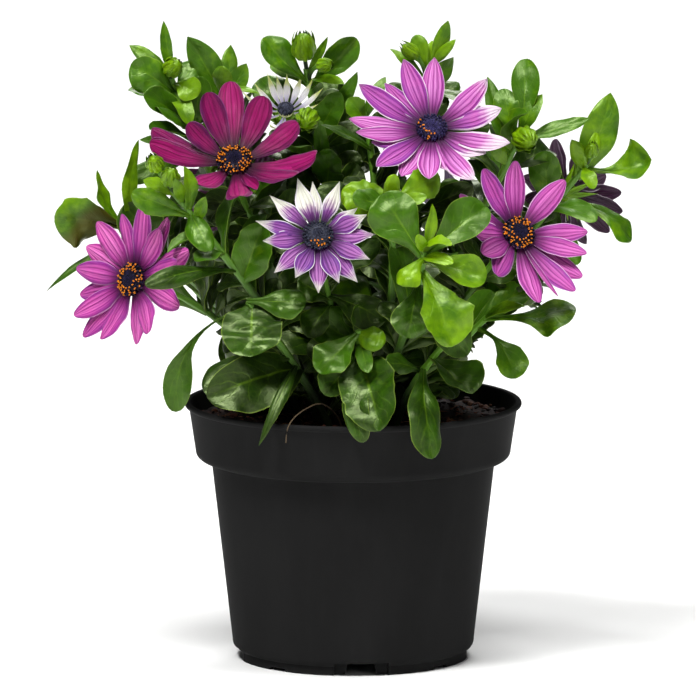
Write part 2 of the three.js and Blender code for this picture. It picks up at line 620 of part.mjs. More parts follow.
// A leaf row: where it leaves the stem (x, height), its tip (x, height, depth), width, arch,
// how far its upper face tilts up from facing front and turns to the right, outline, sweep.
// A bud row: where its stalk leaves the stem (x, height), its middle (x, height, depth), radius.
// fill: how many rule-placed leaves, along which stretch, how long, and how far to the front.
const SHOOTS = [
  {
    name: 'shoot_left_front',
    stem: [ground(-12, -14), front(-16, 118, -22), front(-45, 150, -42), front(-69, 181, -44)],
    leaves: [
      [-60, 174, -54, 157.5, -54, 12, 0.22, 35, -20, 'broad'],
      [-58, 171, -84, 180, -47, 10, 0.12, 10, 10, 'broad'],
      [-46, 158, -59.5, 154, -54, 10, 0.25, 60, 0, 'broad'],
      [-41, 147, -34, 168, -40, 15, 0.1, 20, 0, 'oval'],
      [-44, 151, -77, 145.5, -70, 9, 0.14, 50, 0, 'broad'],
      [-61, 174, -63, 190, -46, 6.5, 0.1, 20, 20, 'lance'],
      [-63, 177, -69.5, 189.5, -52, 5, 0.1, 20, 0, 'lance'],
      [-67, 180, -79, 185.5, -47, 6, 0.1, 30, 0, 'lance'],
      [-58, 170, -56, 178.5, -50, 5, 0.1, 20, 0, 'lance'],
      [-55, 164, -71, 157.5, -50, 5, 0.15, 70, 0, 'lance'],
    ],
    buds: [[-66, 179, -69.5, 185.5, -51, 3.6], [-67, 180, -75, 190.5, -53, 3.2]],
    fill: [3, 0.34, 0.8, 34, -36],
  },
  {
    name: 'shoot_left_low',
    stem: [ground(-17, -7), front(-21, 112, -6)],
    bloom: 'bloom_left',
    leaves: [],
    fill: [3, 0.2, 0.75, 38, -24],
  },
  {
    name: 'shoot_left_middle',
    stem: [ground(-21, 3), front(-28, 118, 6), front(-62, 150, 4), front(-91, 169, -6)],
    leaves: [
      [-88, 167, -114.5, 169, -14, 20, 0.12, -20, 0, 'broad', 0.1],
      [-90, 168, -97, 189, -8, 6, -0.12, 10, 60, 'lance'],
      [-80, 162, -116.8, 141.5, -12, 5, 0.22, 70, 0, 'lance'],
      [-68, 156, -88, 176, -8, 17, 0.1, 15, 0, 'broad'],
      [-84, 165, -81.5, 201, -2, 8, 0.12, 20, 30, 'lance', -0.16],
    ],
    fill: [3, 0.3, 0.85, 36, -16],
  },
  {
    name: 'shoot_left_back',
    stem: [ground(-14, 10), front(-20, 120, 15), front(-52, 175, 12), front(-70, 225, 8)],
    leaves: [
      [-70, 224, -72.8, 247.3, 8, 4.5, 0.05, 10, 0, 'lance'],
      [-68, 218, -84, 231, 2, 14, 0.18, 40, -10, 'broad'],
      [-70, 224, -86, 238, 12, 6.5, 0.15, 50, 0, 'lance'],
      [-66, 214, -86.5, 221, 6, 9, 0.15, 45, 0, 'broad'],
      [-69, 222, -59.5, 218.5, 0, 10, 0.3, 45, 0, 'broad'],
      [-68, 219, -62.5, 207.5, -4, 8, 0.2, 20, 0, 'broad'],
      [-64, 208, -81, 218, -6, 8, 0.12, 30, 0, 'broad'],
      [-62, 203, -75.5, 213, -10, 10, 0.15, 45, 0, 'broad'],
      [-61, 200, -77.5, 206, -14, 9, 0.12, 50, 0, 'broad'],
      [-58, 194, -86.5, 188, -4, 9, 0.15, 50, 0, 'broad'],
      [-59, 196, -82, 201.5, 3, 6, 0.1, 30, 0, 'lance'],
      [-62, 203, -59, 226, 6, 11, 0.1, 25, 0, 'broad'],
      [-59, 197, -50, 212, 4, 9, 0.12, 30, 0, 'broad'],
    ],
    buds: [[-70, 224, -69.5, 229, 4, 3.6]],
    fill: [3, 0.3, 0.85, 38, -10],
  },
  {
    name: 'shoot_magenta',
    stem: [ground(-7, -4), front(-10, 125, -3)],
    bloom: 'bloom_magenta',
    leaves: [],
    fill: [3, 0.22, 0.72, 38, -30],
  },
  {
    name: 'shoot_top_left',
    stem: [ground(-6, 12), front(-8, 125, 20), front(-38, 182, 24), front(-51, 222, 12)],
    leaves: [
      [-50, 215, -63.5, 241.5, 12, 12.5, 0.08, 15, 0, 'lance'],
      [-51, 218, -50, 230, 4, 8, 0.1, 20, 0, 'broad'],
      [-49, 219, -46, 238.5, 16, 7, 0.08, 10, 0, 'lance'],
      [-49, 217, -41, 231, 14, 5, 0.05, 20, 0, 'lance'],
      [-50, 219, -36, 219.5, 8, 5, 0.2, 70, 0, 'lance'],
    ],
    fill: [3, 0.3, 0.9, 36, -6],
  },
  {
    name: 'shoot_top_middle',
    stem: [ground(1, 11), front(3, 130, 16), front(-10, 178, 22), front(-18, 229, 12)],
    branches: [{ from: [-13, 202], bloom: 'bloom_half_open' }],
    leaves: [
      [-18, 224, -34.5, 241, 10, 12, 0.1, 30, -20, 'broad', -0.1],
      [-17, 221, -33.5, 231.5, 18, 8, 0.15, 40, 0, 'broad'],
      [-17, 226, -9.5, 241, 12, 3.5, 0, 10, 0, 'lance'],
      [-16, 221, 1.5, 240.5, 10, 9.5, 0.12, 25, 20, 'broad'],
      [-17, 224, -4.5, 221.5, 2, 5, 0.2, 60, 0, 'lance'],
      [-13, 210, 1.5, 227.5, 6, 6, 0.1, 20, 0, 'lance', 0.18],
      [-11, 204, -4, 219, 4, 11, 0.1, 20, 0, 'oval'],
      [-7, 190, -13.5, 206, -4, 6, 0.05, 15, 0, 'oval'],
      [-5, 184, -9, 196.5, -4, 12, 0.05, 15, 0, 'oval'],
    ],
    buds: [[-18, 228, -19, 236.5, 8, 4.6], [-17, 222, -11.5, 230, 2, 2.8],
      [-12, 201, -17.5, 209, -9, 4.4]],
    fill: [3, 0.3, 0.8, 36, -6],
  },
  {
    name: 'shoot_middle',
    stem: [ground(4, 4), front(6, 130, 4), front(13, 175, 2), front(4, 212, 0)],
    leaves: [
      [5, 209, -2.5, 217, -2, 8, 0.1, 30, 0, 'broad'],
      [7, 197, -12.5, 206, -10, 6, 0.15, 45, 0, 'lance'],
      [5, 210, 12, 226, 2, 6, 0.1, 20, 0, 'lance'],
    ],
    fill: [3, 0.25, 0.85, 38, -16],
  },
  {
    name: 'shoot_lilac',
    stem: [ground(9, -3), front(12, 125, -5)],
    bloom: 'bloom_lilac',
    leaves: [],
    fill: [3, 0.22, 0.7, 38, -30],
  },
  {
    name: 'shoot_centre',
    stem: [ground(9, -15), front(13, 118, -24), front(17, 148, -46), front(14, 177, -50)],
    leaves: [
      [13, 175, -4.5, 181, -50, 14, 0.15, 20, -20, 'oval'],
      [13, 174, -0.5, 177.5, -57, 11, 0.2, 35, 0, 'broad'],
      [14.5, 176, 15.5, 187, -53, 6, 0.1, 0, 0, 'oval'],
      [15, 175, 31, 190.5, -48, 12, 0.12, 25, 10, 'broad'],
      [15, 174, 27.5, 178.5, -58, 6, 0.15, 30, 0, 'oval'],
    ],
    fill: [2, 0.3, 0.7, 34, -42],
  },
  {
    name: 'shoot_top_right',
    stem: [ground(11, 7), front(12, 130, 10), front(14, 190, 6), front(30, 230, 8)],
    leaves: [
      [29, 228, 24, 242, 8, 7, 0.05, 10, -20, 'broad'],
      [27, 225, 14.5, 237, 8, 4.5, 0.1, 20, 0, 'lance'],
      [30, 229, 36.5, 247.5, 6, 6, 0.05, 15, 20, 'lance'],
      [30, 229, 38.8, 240, 2, 4.5, 0.1, 20, 0, 'lance'],
      [28, 219, 39.5, 232.5, 7, 8.5, 0.1, 20, 20, 'lance'],
      [30, 229, 30.5, 240, 12, 5, 0.05, 10, 0, 'lance'],
    ],
    buds: [[26, 221, 22.5, 235, 4, 2.8]],
    fill: [3, 0.3, 0.9, 36, -4],
  },
  {
    name: 'shoot_right_upper',
    stem: [ground(14, 1), front(20, 128, 3), front(48, 165, -4), front(64, 203, -8)],
    leaves: [
      [60, 195, 52, 226, 0, 8, 0.08, 15, 0, 'lance', -0.08],
      [62, 199, 57, 221, -6, 10, 0.1, 20, 0, 'broad'],
      [63, 201, 65, 233, -2, 11, 0.08, 20, 0, 'broad', 0.1],
      [64, 202, 72.5, 219, -6, 5, 0.15, 40, 0, 'lance'],
      [61, 197, 70.5, 209, -18, 8, 0.35, 60, 0, 'oval'],
      [64, 201, 90.5, 209.5, -8, 7, -0.06, 60, 0, 'lance'],
      [58, 191, 52, 199.5, -14, 6, 0.1, 20, 0, 'lance'],
      [45, 172, 33.5, 184, -12, 10, 0.1, 30, 0, 'broad'],
    ],
    buds: [[62, 199, 65.5, 201.5, -15, 4.8]],
    fill: [3, 0.3, 0.85, 36, -14],
  },
  {
    name: 'shoot_right_top',
    stem: [ground(17, 8), front(25, 122, 12), front(64, 158, 14), front(90, 192, 2)],
    branches: [{ from: [66, 164], bloom: 'bloom_turned_away' }],
    leaves: [
      [86, 186, 99, 219.5, 6, 14, 0.08, 20, 20, 'lance', 0.08],
      [89, 190, 114.2, 193.5, -4, 13, -0.1, 60, 0, 'broad'],
      [90, 191, 91.5, 205, 0, 5, 0.1, 20, 0, 'lance'],
      [89, 190, 86, 201, -6, 5, 0.1, 20, 0, 'lance'],
      [89, 190, 92.5, 182.5, -10, 6, 0.25, 10, 0, 'broad'],
      [80, 178, 109, 164, 2, 12.5, 0.15, 50, 0, 'broad'],
      [74, 170, 92.5, 171.5, -16, 10, 0.2, 50, 0, 'broad'],
      [76, 173, 74, 196, -2, 13, 0.05, 15, 0, 'broad'],
      [68, 164, 86, 155, -14, 12, 0.12, 50, 0, 'broad'],
    ],
    buds: [[89.5, 191, 91.5, 196.5, -2, 2.6]],
    fill: [3, 0.3, 0.65, 36, -14],
  },
  {
    name: 'shoot_right',
    stem: [ground(13, -10), front(20, 112, -13)],
    bloom: 'bloom_right',
    leaves: [
      [52, 155, 84, 143.8, -26, 5, 0.1, 50, 0, 'lance'],
      [45, 148, 62, 151, -30, 10, 0.1, 30, 0, 'broad'],
    ],
    fill: [3, 0.25, 0.75, 34, -32],
  },
  {
    name: 'shoot_right_low',
    stem: [ground(19, -6), front(27, 106, -13), front(37, 119, -24), front(51, 132, -34)],
    leaves: [
      [50, 131, 84.5, 132.5, -46, 17, -0.02, 45, 0, 'spoon'],
      [47, 128, 62, 108.5, -46, 12, 0.2, 20, 30, 'spoon', -0.12],
      [47, 129, 67, 145, -28, 11, 0.1, 30, 0, 'broad'],
      [44, 127, 57, 148, -24, 9, 0.1, 30, 0, 'broad'],
      [51, 132, 65, 137, -44, 5, 0.2, 30, 0, 'lance'],
      [43, 126, 51, 142, -44, 8, 0.1, 40, 0, 'broad'],
    ],
    fill: [2, 0.35, 0.8, 30, -34],
  },
  {
    name: 'shoot_rosette',
    stem: [ground(5, -19), front(12, 108, -32), front(24, 132, -61), front(27, 157, -63)],
    leaves: [
      [27, 155, 11, 179.5, -60, 20, 0.08, 10, -10, 'broad'],
      [27, 156, 50.5, 175.5, -58, 16, 0.1, 20, 20, 'broad'],
      [27, 157, 30.8, 175, -65, 5, 0.05, 0, 20, 'lance'],
      [27, 157, 37, 160.5, -73, 6.5, 0.25, 40, 20, 'oval'],
      [27, 157, 24.3, 163.5, -67, 4, 0.1, 10, 0, 'oval'],
      [27, 155, 17, 145, -72, 12, 0.18, 20, -20, 'broad'],
      [27, 154, 37.5, 153, -74, 5, 0.2, 40, 0, 'oval'],
      [27, 153, 50.3, 146.5, -67, 14, 0.14, 40, 10, 'broad'],
      [26, 150, 38, 121, -77, 20, 0.16, 25, 10, 'broad'],
      [25, 145, 20.5, 124, -66, 16, 0.12, 10, -10, 'broad'],
      [24, 138, 43, 117.5, -64, 13, 0.15, 20, 20, 'broad'],
    ],
    fill: [2, 0.25, 0.7, 34, -50],
  },
  {
    name: 'shoot_white',
    stem: [ground(-1, -13), front(-2, 122, -20)],
    bloom: 'bloom_white',
    leaves: [
      [-4, 138, -17.5, 124, -47, 12, 0.1, 20, -20, 'broad'],
      [-4, 142, 12, 131, -46, 14, 0.1, 30, 0, 'broad'],
      [-6, 148, 10, 161.5, -42, 9, 0.1, 20, 0, 'broad'],
      [-4, 140, -20, 146, -40, 14, 0.1, 20, 0, 'broad'],
    ],
    fill: [3, 0.22, 0.7, 36, -40],
  },
  {
    name: 'shoot_skirt_left',
    stem: [ground(-7, -20), front(-13, 101, -30), front(-24, 117, -42), front(-40, 138, -46)],
    leaves: [
      [-39, 136, -39, 117, -62, 24, 0.08, 20, 0, 'oval'],
      [-40, 138, -18, 137, -54, 14, 0.1, 40, 0, 'broad'],
      [-20, 113, -54, 102, -66, 22.5, 0.1, 30, 0, 'oval'],
      [-24, 117, -56.8, 105, -56, 18, 0.1, 30, 0, 'broad'],
      [-21, 113, -35.3, 82.5, -63, 5, 0.42, 10, 0, 'lance'],
      [-39, 136, -67.5, 95.3, -48, 10.5, 0.1, 15, 0, 'spoon', 0.42],
    ],
    fill: [2, 0.3, 0.9, 32, -36],
  },
  {
    name: 'shoot_skirt_middle',
    stem: [ground(0, -25), front(2, 102, -36), front(4, 114, -46), front(2, 127, -49)],
    leaves: [
      [2, 126, -13, 111, -61, 16, 0.1, 30, -10, 'broad'],
      [2, 118, -11, 102.5, -58, 12, 0.12, 30, 0, 'broad'],
      [2, 108, 1.5, 85, -73, 11, 0.35, 20, -10, 'broad'],
      [3, 116, 10, 88.5, -73, 22.5, 0.22, 30, 0, 'oval'],
      [2, 122, 5.5, 111, -64, 6, 0.1, 20, 0, 'oval'],
      [2, 126, 11, 121, -56, 10, 0.1, 20, 0, 'oval'],
    ],
    fill: [2, 0.4, 0.9, 28, -42],
  },
  {
    name: 'shoot_skirt_right',
    stem: [ground(14, -22), front(18, 101, -32), front(26, 111, -44), front(34, 121, -48)],
    leaves: [
      [27, 112, 31, 78, -75, 15, 0.36, 20, 10, 'broad', 0.12],
      [26, 111, 13.5, 115, -58, 9, 0.12, 40, 0, 'broad'],
      [30, 116, 45, 102, -61, 17.5, 0.12, 35, 20, 'broad'],
    ],
    fill: [2, 0.4, 0.9, 30, -40],
  },
  {
    name: 'shoot_back_left',
    stem: [ground(-13, 18), vector(-20, 28, 118)],
    bloom: 'bloom_back_left',
    leaves: [],
    fill: [7, 0.15, 0.85, 38, -90],
  },
  {
    name: 'shoot_back_middle',
    stem: [ground(-2, 20), vector(-3, 30, 120), vector(2, 46, 160), vector(-2, 50, 205)],
    leaves: [],
    fill: [9, 0.15, 1, 40, -90],
  },
  {
    name: 'shoot_back_right',
    stem: [ground(12, 18), vector(20, 28, 116)],
    bloom: 'bloom_back_right',
    leaves: [],
    fill: [6, 0.2, 0.85, 38, -90],
  },
  {
    name: 'shoot_back_low_left',
    stem: [ground(-9, 27), vector(-14, 38, 108), vector(-26, 52, 120), vector(-38, 62, 132)],
    leaves: [],
    fill: [6, 0.12, 1, 42, -90],
  },
  {
    name: 'shoot_back_low_right',
    stem: [ground(7, 28), vector(10, 40, 108), vector(22, 54, 118), vector(34, 62, 128)],
    leaves: [],
    fill: [6, 0.12, 1, 42, -90],
  },
  {
    name: 'shoot_side_left',
    stem: [ground(-23, 12), vector(-34, 18, 116), vector(-58, 30, 134), vector(-76, 38, 154)],
    leaves: [],
    fill: [8, 0.12, 1, 40, -90],
  },
  {
    name: 'shoot_side_right',
    stem: [ground(22, 13), vector(34, 18, 114), vector(58, 30, 130), vector(76, 40, 146)],
    leaves: [],
    fill: [8, 0.12, 1, 40, -90],
  },
];

// ---------------------------------------------------------------- stems and leaves

function stemCurve(shoot, heads) {
  if (!shoot.bloom) return new THREE.CubicBezierCurve3(...shoot.stem);
  const head = heads[shoot.bloom];
  const end = head.centre.clone().addScaledVector(head.axis, HEAD.cupTop - 0.5 * HEAD.cupLength);
  const approach = head.centre.clone().addScaledVector(head.axis, -HEAD.approach);
  return new THREE.CubicBezierCurve3(shoot.stem[0], shoot.stem[1], approach, end);
}

function branchCurve(curve, branch, head) {
  const at = nearestOnStem(curve, ...branch.from);
  const start = curve.getPoint(at);
  const end = head.centre.clone().addScaledVector(head.axis, HEAD.cupTop - 0.5 * HEAD.cupLength);
  const third = start.distanceTo(end) / 2.6;
  const leave = start.clone().addScaledVector(curve.getTangent(at), third);
  const arrive = end.clone().addScaledVector(head.axis, -third);
  return new THREE.CubicBezierCurve3(start, leave, arrive, end);
}

function nearestOnStem(curve, x, height) {
  const steps = 60;
  let best = 0;
  let bestDistance = Infinity;
  for (let i = 0; i <= steps; i += 1) {
    const point = curve.getPoint(i / steps);
    const distance = Math.hypot(point.x - x, point.z + SIGHT_FALL * point.y - height);
    if (distance < bestDistance) {
      best = i / steps;
      bestDistance = distance;
    }
  }
  return best;
}

function handLeaves(shoot, curve) {
  return shoot.leaves.map((row) => {
    const [fromX, fromHeight, x, height, depth, width, arch, tilt, turn, kind, sweep = 0] = row;
    const base = curve.getPoint(nearestOnStem(curve, fromX, fromHeight));
    const lie = leafLie(base, front(x, height, depth), facing(turn, tilt));
    return { lie, width, arch, kind, sweep, filler: false };
  });
}

const insideCrown = (point) =>
  point.clone().sub(CROWN.centre).divide(CROWN.reach).length() < 1;

// Whether a point reads inside the foliage's own outline from in front.
function hiddenByCrown(point) {
  const height = point.z + SIGHT_FALL * point.y;
  let inside = false;
  let [previousX, previousHeight] = CROWN.outline[CROWN.outline.length - 1];
  for (const [x, cornerHeight] of CROWN.outline) {
    if (cornerHeight > height !== previousHeight > height) {
      const share = (height - cornerHeight) / (previousHeight - cornerHeight);
      if (point.x < x + share * (previousX - x)) inside = !inside;
    }
    previousX = x;
    previousHeight = cornerHeight;
  }
  return inside;
}

// Leaves set round a stem by the golden turn, larger below. A leaf whose tip would leave the
// crown or its outline, or reach too far to the front, goes a quarter turn on, up to three times.
function ruleLeaves(shoot, curve, seed) {
  const [count, from, to, size, frontLimit] = shoot.fill;
  const random = randomSource(seed);
  const leaves = [];
  for (let i = 0; i < count; i += 1) {
    const at = from + ((to - from) * (i + 0.5)) / count;
    const base = curve.getPoint(at);
    const tangent = curve.getTangent(at);
    const first = vector(0, 0, 0).crossVectors(tangent, vector(0.3, 1, 0.1)).normalize();
    const second = vector(0, 0, 0).crossVectors(tangent, first).normalize();
    const turn = i * GOLDEN_TURN + 2 * Math.PI * random();
    const rise = 0.1 + 0.6 * at + 0.2 * random();
    const length = size * (1.25 - 0.6 * at) * (0.85 + 0.3 * random());
    const width = length * (0.44 + 0.1 * random());
    for (let quarter = 0; quarter < 4; quarter += 1) {
      const angle = turn + (quarter * Math.PI) / 2;
      const outward = first.clone().multiplyScalar(Math.cos(angle));
      outward.addScaledVector(second, Math.sin(angle)).multiplyScalar(Math.cos(rise));
      const tip = base.clone().addScaledVector(outward, length);
      tip.addScaledVector(tangent, length * Math.sin(rise));
      if (tip.y < frontLimit || !insideCrown(tip) || !hiddenByCrown(tip)) continue;
      const lie = leafLie(base, tip, tangent);
      leaves.push({ lie, width, arch: FILL.arch, kind: 'broad', sweep: 0, filler: true });
      break;
    }
  }
  return leaves;
}

function budSolids(shoot, curve) {
  return (shoot.buds ?? []).flatMap(([fromX, fromHeight, x, height, depth, radius]) => {
    const at = nearestOnStem(curve, fromX, fromHeight);
    const start = curve.getPoint(at);
    const middle = front(x, height, depth);
    const reach = start.distanceTo(middle);
    const bend = start.clone().addScaledVector(curve.getTangent(at), 0.5 * reach);
    const axis = middle.clone().sub(bend).normalize();
    const base = middle.clone().addScaledVector(axis, -1.1 * radius);
    const tip = middle.clone().addScaledVector(axis, 1.25 * radius);
    const overlap = base.clone().addScaledVector(axis, 0.5 * radius);
    const stalk = new THREE.QuadraticBezierCurve3(start, bend, overlap);
    return [tube(stalk, BUD_STALK_RADIUS, 2, 3), budSolid(base, tip, radius)];
  });
}

// ---------------------------------------------------------------- clearances

const placed = [];

function place(node, solid, outer = solid) {
  const box = solid.boundingBox();
  placed.push({ node, solid, outer, box });
}

function boxesNear(a, b) {
  for (let k = 0; k < 3; k += 1) {
    if (a.min[k] > b.max[k] + CLEARANCE || b.min[k] > a.max[k] + CLEARANCE) return false;
  }
  return true;
}

function isClear(node, whole, outer) {
  const box = whole.boundingBox();
  for (const other of placed) {
    if (!boxesNear(box, other.box)) continue;
    if (other.node === node) {
      if (outer.minGap(other.outer, OWN_CLEARANCE) < OWN_CLEARANCE) return false;
    } else if (whole.minGap(other.solid, CLEARANCE) < CLEARANCE) {
      return false;
    }
  }
  return true;
}

// A leaf that would cross a neighbour is bent aside, first a little and then further.
const BEND_STEPS = [0, 7, 14, 22, 32];
const BEND_WAYS = [[1, 0], [-1, 0], [0, 1], [0, -1], [0.8, 0.8], [-0.8, 0.8], [0.8, -0.8],
  [-0.8, -0.8]];
const BENDS = BEND_STEPS.flatMap((step) =>
  (step === 0 ? [[0, 0]] : BEND_WAYS.map(([pitch, yaw]) => [step * pitch, step * yaw])));
const LEAF_SCALES = [1, 0.78];

function placeLeaf(node, leaf) {
  for (const scale of LEAF_SCALES) {
    for (const [pitch, yaw] of BENDS) {
      const lie = bentLie(leaf.lie, radians(pitch), radians(yaw));
      const { whole, outer } = leafSolids(lie, leaf, scale);
      if (isClear(node, whole, outer)) {
        place(node, whole, outer);
        return whole;
      }
    }
  }
  return null;
}

// ---------------------------------------------------------------- the model

const STRAND = {
  radius: 0.45,
  steps: 10,
  route: [vector(-3, -36, 90), vector(-6, -41, 100), front(-12, 98.6, -48),
    front(-18.5, 96.4, -55.5), vector(-23, -60.5, 102.2), vector(-25, -64.6, 99),
    vector(-25.6, -65.2, 94)],
};

const group = new THREE.Group();

function addPiece(name, solid, color, roughness) {
  const material = new THREE.MeshStandardMaterial({ color, roughness, metalness: 0 });
  const mesh = new THREE.Mesh(geometryOf(solid), material);
  mesh.name = name;
  group.add(mesh);
}

const pot = potSolid();
addPiece('pot', pot, 0x1e1e1e, 0.45);
place('pot', pot);

const heads = {};
for (const [name, bloom] of Object.entries(BLOOMS)) {
  const head = headFrame(bloom.centre, bloom.axis);
  heads[name] = head;
  const petals = petalRing(bloom, head);
  const disc = discSolid(bloom, head);
  place(`${name}_petals`, petals);
  place(`${name}_disc`, disc);
  addPiece(`${name}_petals`, petals, bloom.petals, 0.5);
  addPiece(`${name}_disc`, disc, bloom.disc, 0.8);
}

const strandCurve = new THREE.CatmullRomCurve3(STRAND.route);
const strand = tube(strandCurve, STRAND.radius, STRAND.steps);
place('dry_strand', strand);
addPiece('dry_strand', strand, 0x7a6242, 0.8);

const holes = [stemHole(strandCurve, STRAND.steps)];
const shoots = SHOOTS.map((shoot) => {
  const curve = stemCurve(shoot, heads);
  const radius = shoot.bloom ? PEDUNCLE_RADIUS : STEM_RADIUS;
  const solids = [tube(curve, radius, STEM_STEPS)];
  if (shoot.bloom) solids.push(cupSolid(heads[shoot.bloom]));
  for (const branch of shoot.branches ?? []) {
    const head = heads[branch.bloom];
    const stalk = tube(branchCurve(curve, branch, head), BRANCH_RADIUS, BRANCH_STEPS);
    solids.push(stalk, cupSolid(head));
  }
  solids.push(...budSolids(shoot, curve));
  holes.push(stemHole(curve, STEM_STEPS));
  for (const solid of solids) place(shoot.name, solid);
  return { shoot, curve, solids };
});

const soil = soilSolid(holes);
place('soil', soil);
addPiece('soil', soil, 0x2e1a12, 0.95);

for (const { shoot, curve, solids } of shoots) {
  for (const leaf of handLeaves(shoot, curve)) {
    const solid = placeLeaf(shoot.name, leaf);
    if (solid) solids.push(solid);
  }
}
shoots.forEach(({ shoot, curve, solids }, index) => {
  for (const leaf of ruleLeaves(shoot, curve, FILL.firstSeed + FILL.seedStep * index)) {
    const solid = placeLeaf(shoot.name, leaf);
    if (solid) solids.push(solid);
  }
  addPiece(shoot.name, mainBody(union(solids)), 0x3f7d14, 0.5);
});

export default group;
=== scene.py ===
"""A flowering osteospermum in its black nursery pot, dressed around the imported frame.

Lengths are millimetres while a shape is worked out and metres in the finished meshes. +Z is up
and the plant's best side looks along -Y. The planting lists place every stem, leaf, bud and
flower; a leaf then lies the way its solid in the frame does.
"""
from __future__ import annotations

import json
import logging
import math
import random
from dataclasses import dataclass, field
from enum import Enum
from typing import Any, Callable, Iterable, Sequence

import bpy
import numpy as np
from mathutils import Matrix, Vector, noise
from mathutils.bvhtree import BVHTree
from mathutils.kdtree import KDTree

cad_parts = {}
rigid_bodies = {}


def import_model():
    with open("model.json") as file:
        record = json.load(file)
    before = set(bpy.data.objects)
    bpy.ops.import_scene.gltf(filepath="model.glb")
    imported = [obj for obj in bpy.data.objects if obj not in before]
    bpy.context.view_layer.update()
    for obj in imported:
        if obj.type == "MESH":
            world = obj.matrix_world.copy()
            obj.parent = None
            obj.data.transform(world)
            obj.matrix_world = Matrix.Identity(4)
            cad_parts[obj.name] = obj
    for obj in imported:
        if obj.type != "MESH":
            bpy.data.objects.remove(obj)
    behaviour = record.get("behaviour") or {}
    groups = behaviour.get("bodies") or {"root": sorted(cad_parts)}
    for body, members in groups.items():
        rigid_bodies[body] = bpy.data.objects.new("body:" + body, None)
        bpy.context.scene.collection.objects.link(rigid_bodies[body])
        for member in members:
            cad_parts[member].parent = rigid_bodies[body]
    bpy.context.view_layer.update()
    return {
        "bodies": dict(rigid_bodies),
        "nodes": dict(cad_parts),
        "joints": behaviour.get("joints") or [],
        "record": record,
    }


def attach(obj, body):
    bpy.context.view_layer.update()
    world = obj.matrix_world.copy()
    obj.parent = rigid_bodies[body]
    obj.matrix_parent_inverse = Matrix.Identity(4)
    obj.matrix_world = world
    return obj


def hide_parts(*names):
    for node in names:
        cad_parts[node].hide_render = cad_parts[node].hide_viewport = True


log = logging.getLogger("osteospermum")

MM = 0.001

# Heights in the planting lists are read from in front and a little above: of two points at one
# height, the one a millimetre further back reads SIGHT_FALL higher.
SIGHT_FALL = 0.157
ROOT_HEIGHT = 86.0
GOLDEN_TURN = math.radians(137.5)
DRAW_FACTOR, DRAW_RANGE = 16807, 2147483647  # of the draws that placed the frame's own leaves
UP = np.array((0.0, 0.0, 1.0))

Point = np.ndarray
Face = tuple[int, ...]


def place(x: float, y: float, z: float) -> Point:
    """A point in millimetres."""
    return np.array((x, y, z), dtype=float)


def front(x: float, height: float, depth: float) -> Point:
    """A point by its height as it reads from in front, and its depth behind the pot's middle."""
    return place(x, depth, height - SIGHT_FALL * depth)


def ground(x: float, y: float) -> Point:
    """Where a stem starts, in its hole in the peat."""
    return place(x, y, ROOT_HEIGHT)


def unit(vectors: np.ndarray) -> np.ndarray:
    """The same directions at length one."""
    return vectors / np.linalg.norm(vectors, axis=-1, keepdims=True)


def facing(turn: float, rise: float) -> Point:
    """A direction by how far it turns to the right of the front and rises, in degrees."""
    level = math.cos(math.radians(rise))
    sideways = math.sin(math.radians(turn)) * level
    return place(sideways, -math.cos(math.radians(turn)) * level, math.sin(math.radians(rise)))


def smooth_step(low: float, high: float, at: np.ndarray) -> np.ndarray:
    """0 below low and 1 above high, with a soft way between; low may be the larger."""
    part = np.clip((at - low) / (high - low), 0.0, 1.0)
    return part * part * (3.0 - 2.0 * part)


def smooth_through(stops: np.ndarray, values: np.ndarray, at: np.ndarray) -> np.ndarray:
    """A soft curve through values at stops, read at other places.

    Args:
        stops: Rising places of the known values.
        values: The values there.
        at: Where the curve is read.

    Returns:
        The curve's values, one for each place in at.
    """
    slopes = np.gradient(values, stops)
    index = np.clip(np.searchsorted(stops, at) - 1, 0, len(stops) - 2)
    span = stops[index + 1] - stops[index]
    part = np.clip((at - stops[index]) / span, 0.0, 1.0)
    rest = 1.0 - part
    return (values[index] * (1 + 2 * part) * rest**2 + slopes[index] * span * part * rest**2
            + values[index + 1] * part**2 * (3 - 2 * part)
            - slopes[index + 1] * span * part**2 * rest)


def random_source(seed: int) -> Callable[[], float]:
    """The draws, from 0 to 1, by which the frame's own leaves and petals were placed."""
    state = seed

    def draw() -> float:
        """The next draw."""
        nonlocal state
        state = (state * DRAW_FACTOR) % DRAW_RANGE
        return state / DRAW_RANGE

    return draw


@dataclass(frozen=True)
class Bend:
    """A smooth curve led by three or four points."""

    points: tuple[Point, ...]

    def at(self, part: float | np.ndarray) -> np.ndarray:
        """The curve's points at these parts of the way."""
        return self._blend(np.asarray(self.points), part)

    def along(self, part: float | np.ndarray) -> np.ndarray:
        """The curve's directions at these parts of the way."""
        return unit(self._blend(np.diff(np.asarray(self.points), axis=0), part))

    @staticmethod
    def _blend(points: np.ndarray, part: float | np.ndarray) -> np.ndarray:
        """The points mixed in Bezier's shares."""
        part = np.asarray(part, dtype=float)[..., None]
        last = len(points) - 1
        total = np.zeros(part.shape[:-1] + (3,))
        for index, point in enumerate(points):
            share = math.comb(last, index) * part**index * (1 - part)**(last - index)
            total = total + share * point
        return total

    def length(self) -> float:
        """The curve's rough length."""
        walk = self.at(np.linspace(0, 1, 21))
        return float(np.linalg.norm(np.diff(walk, axis=0), axis=1).sum())

    def nearest(self, x: float, height: float) -> float:
        """The part of the way that reads nearest to x and height from in front."""
        steps = 60
        walk = self.at(np.arange(steps + 1) / steps)
        off = np.hypot(walk[:, 0] - x, walk[:, 2] + SIGHT_FALL * walk[:, 1] - height)
        return int(np.argmin(off)) / steps


# ---------------- patterns and batches


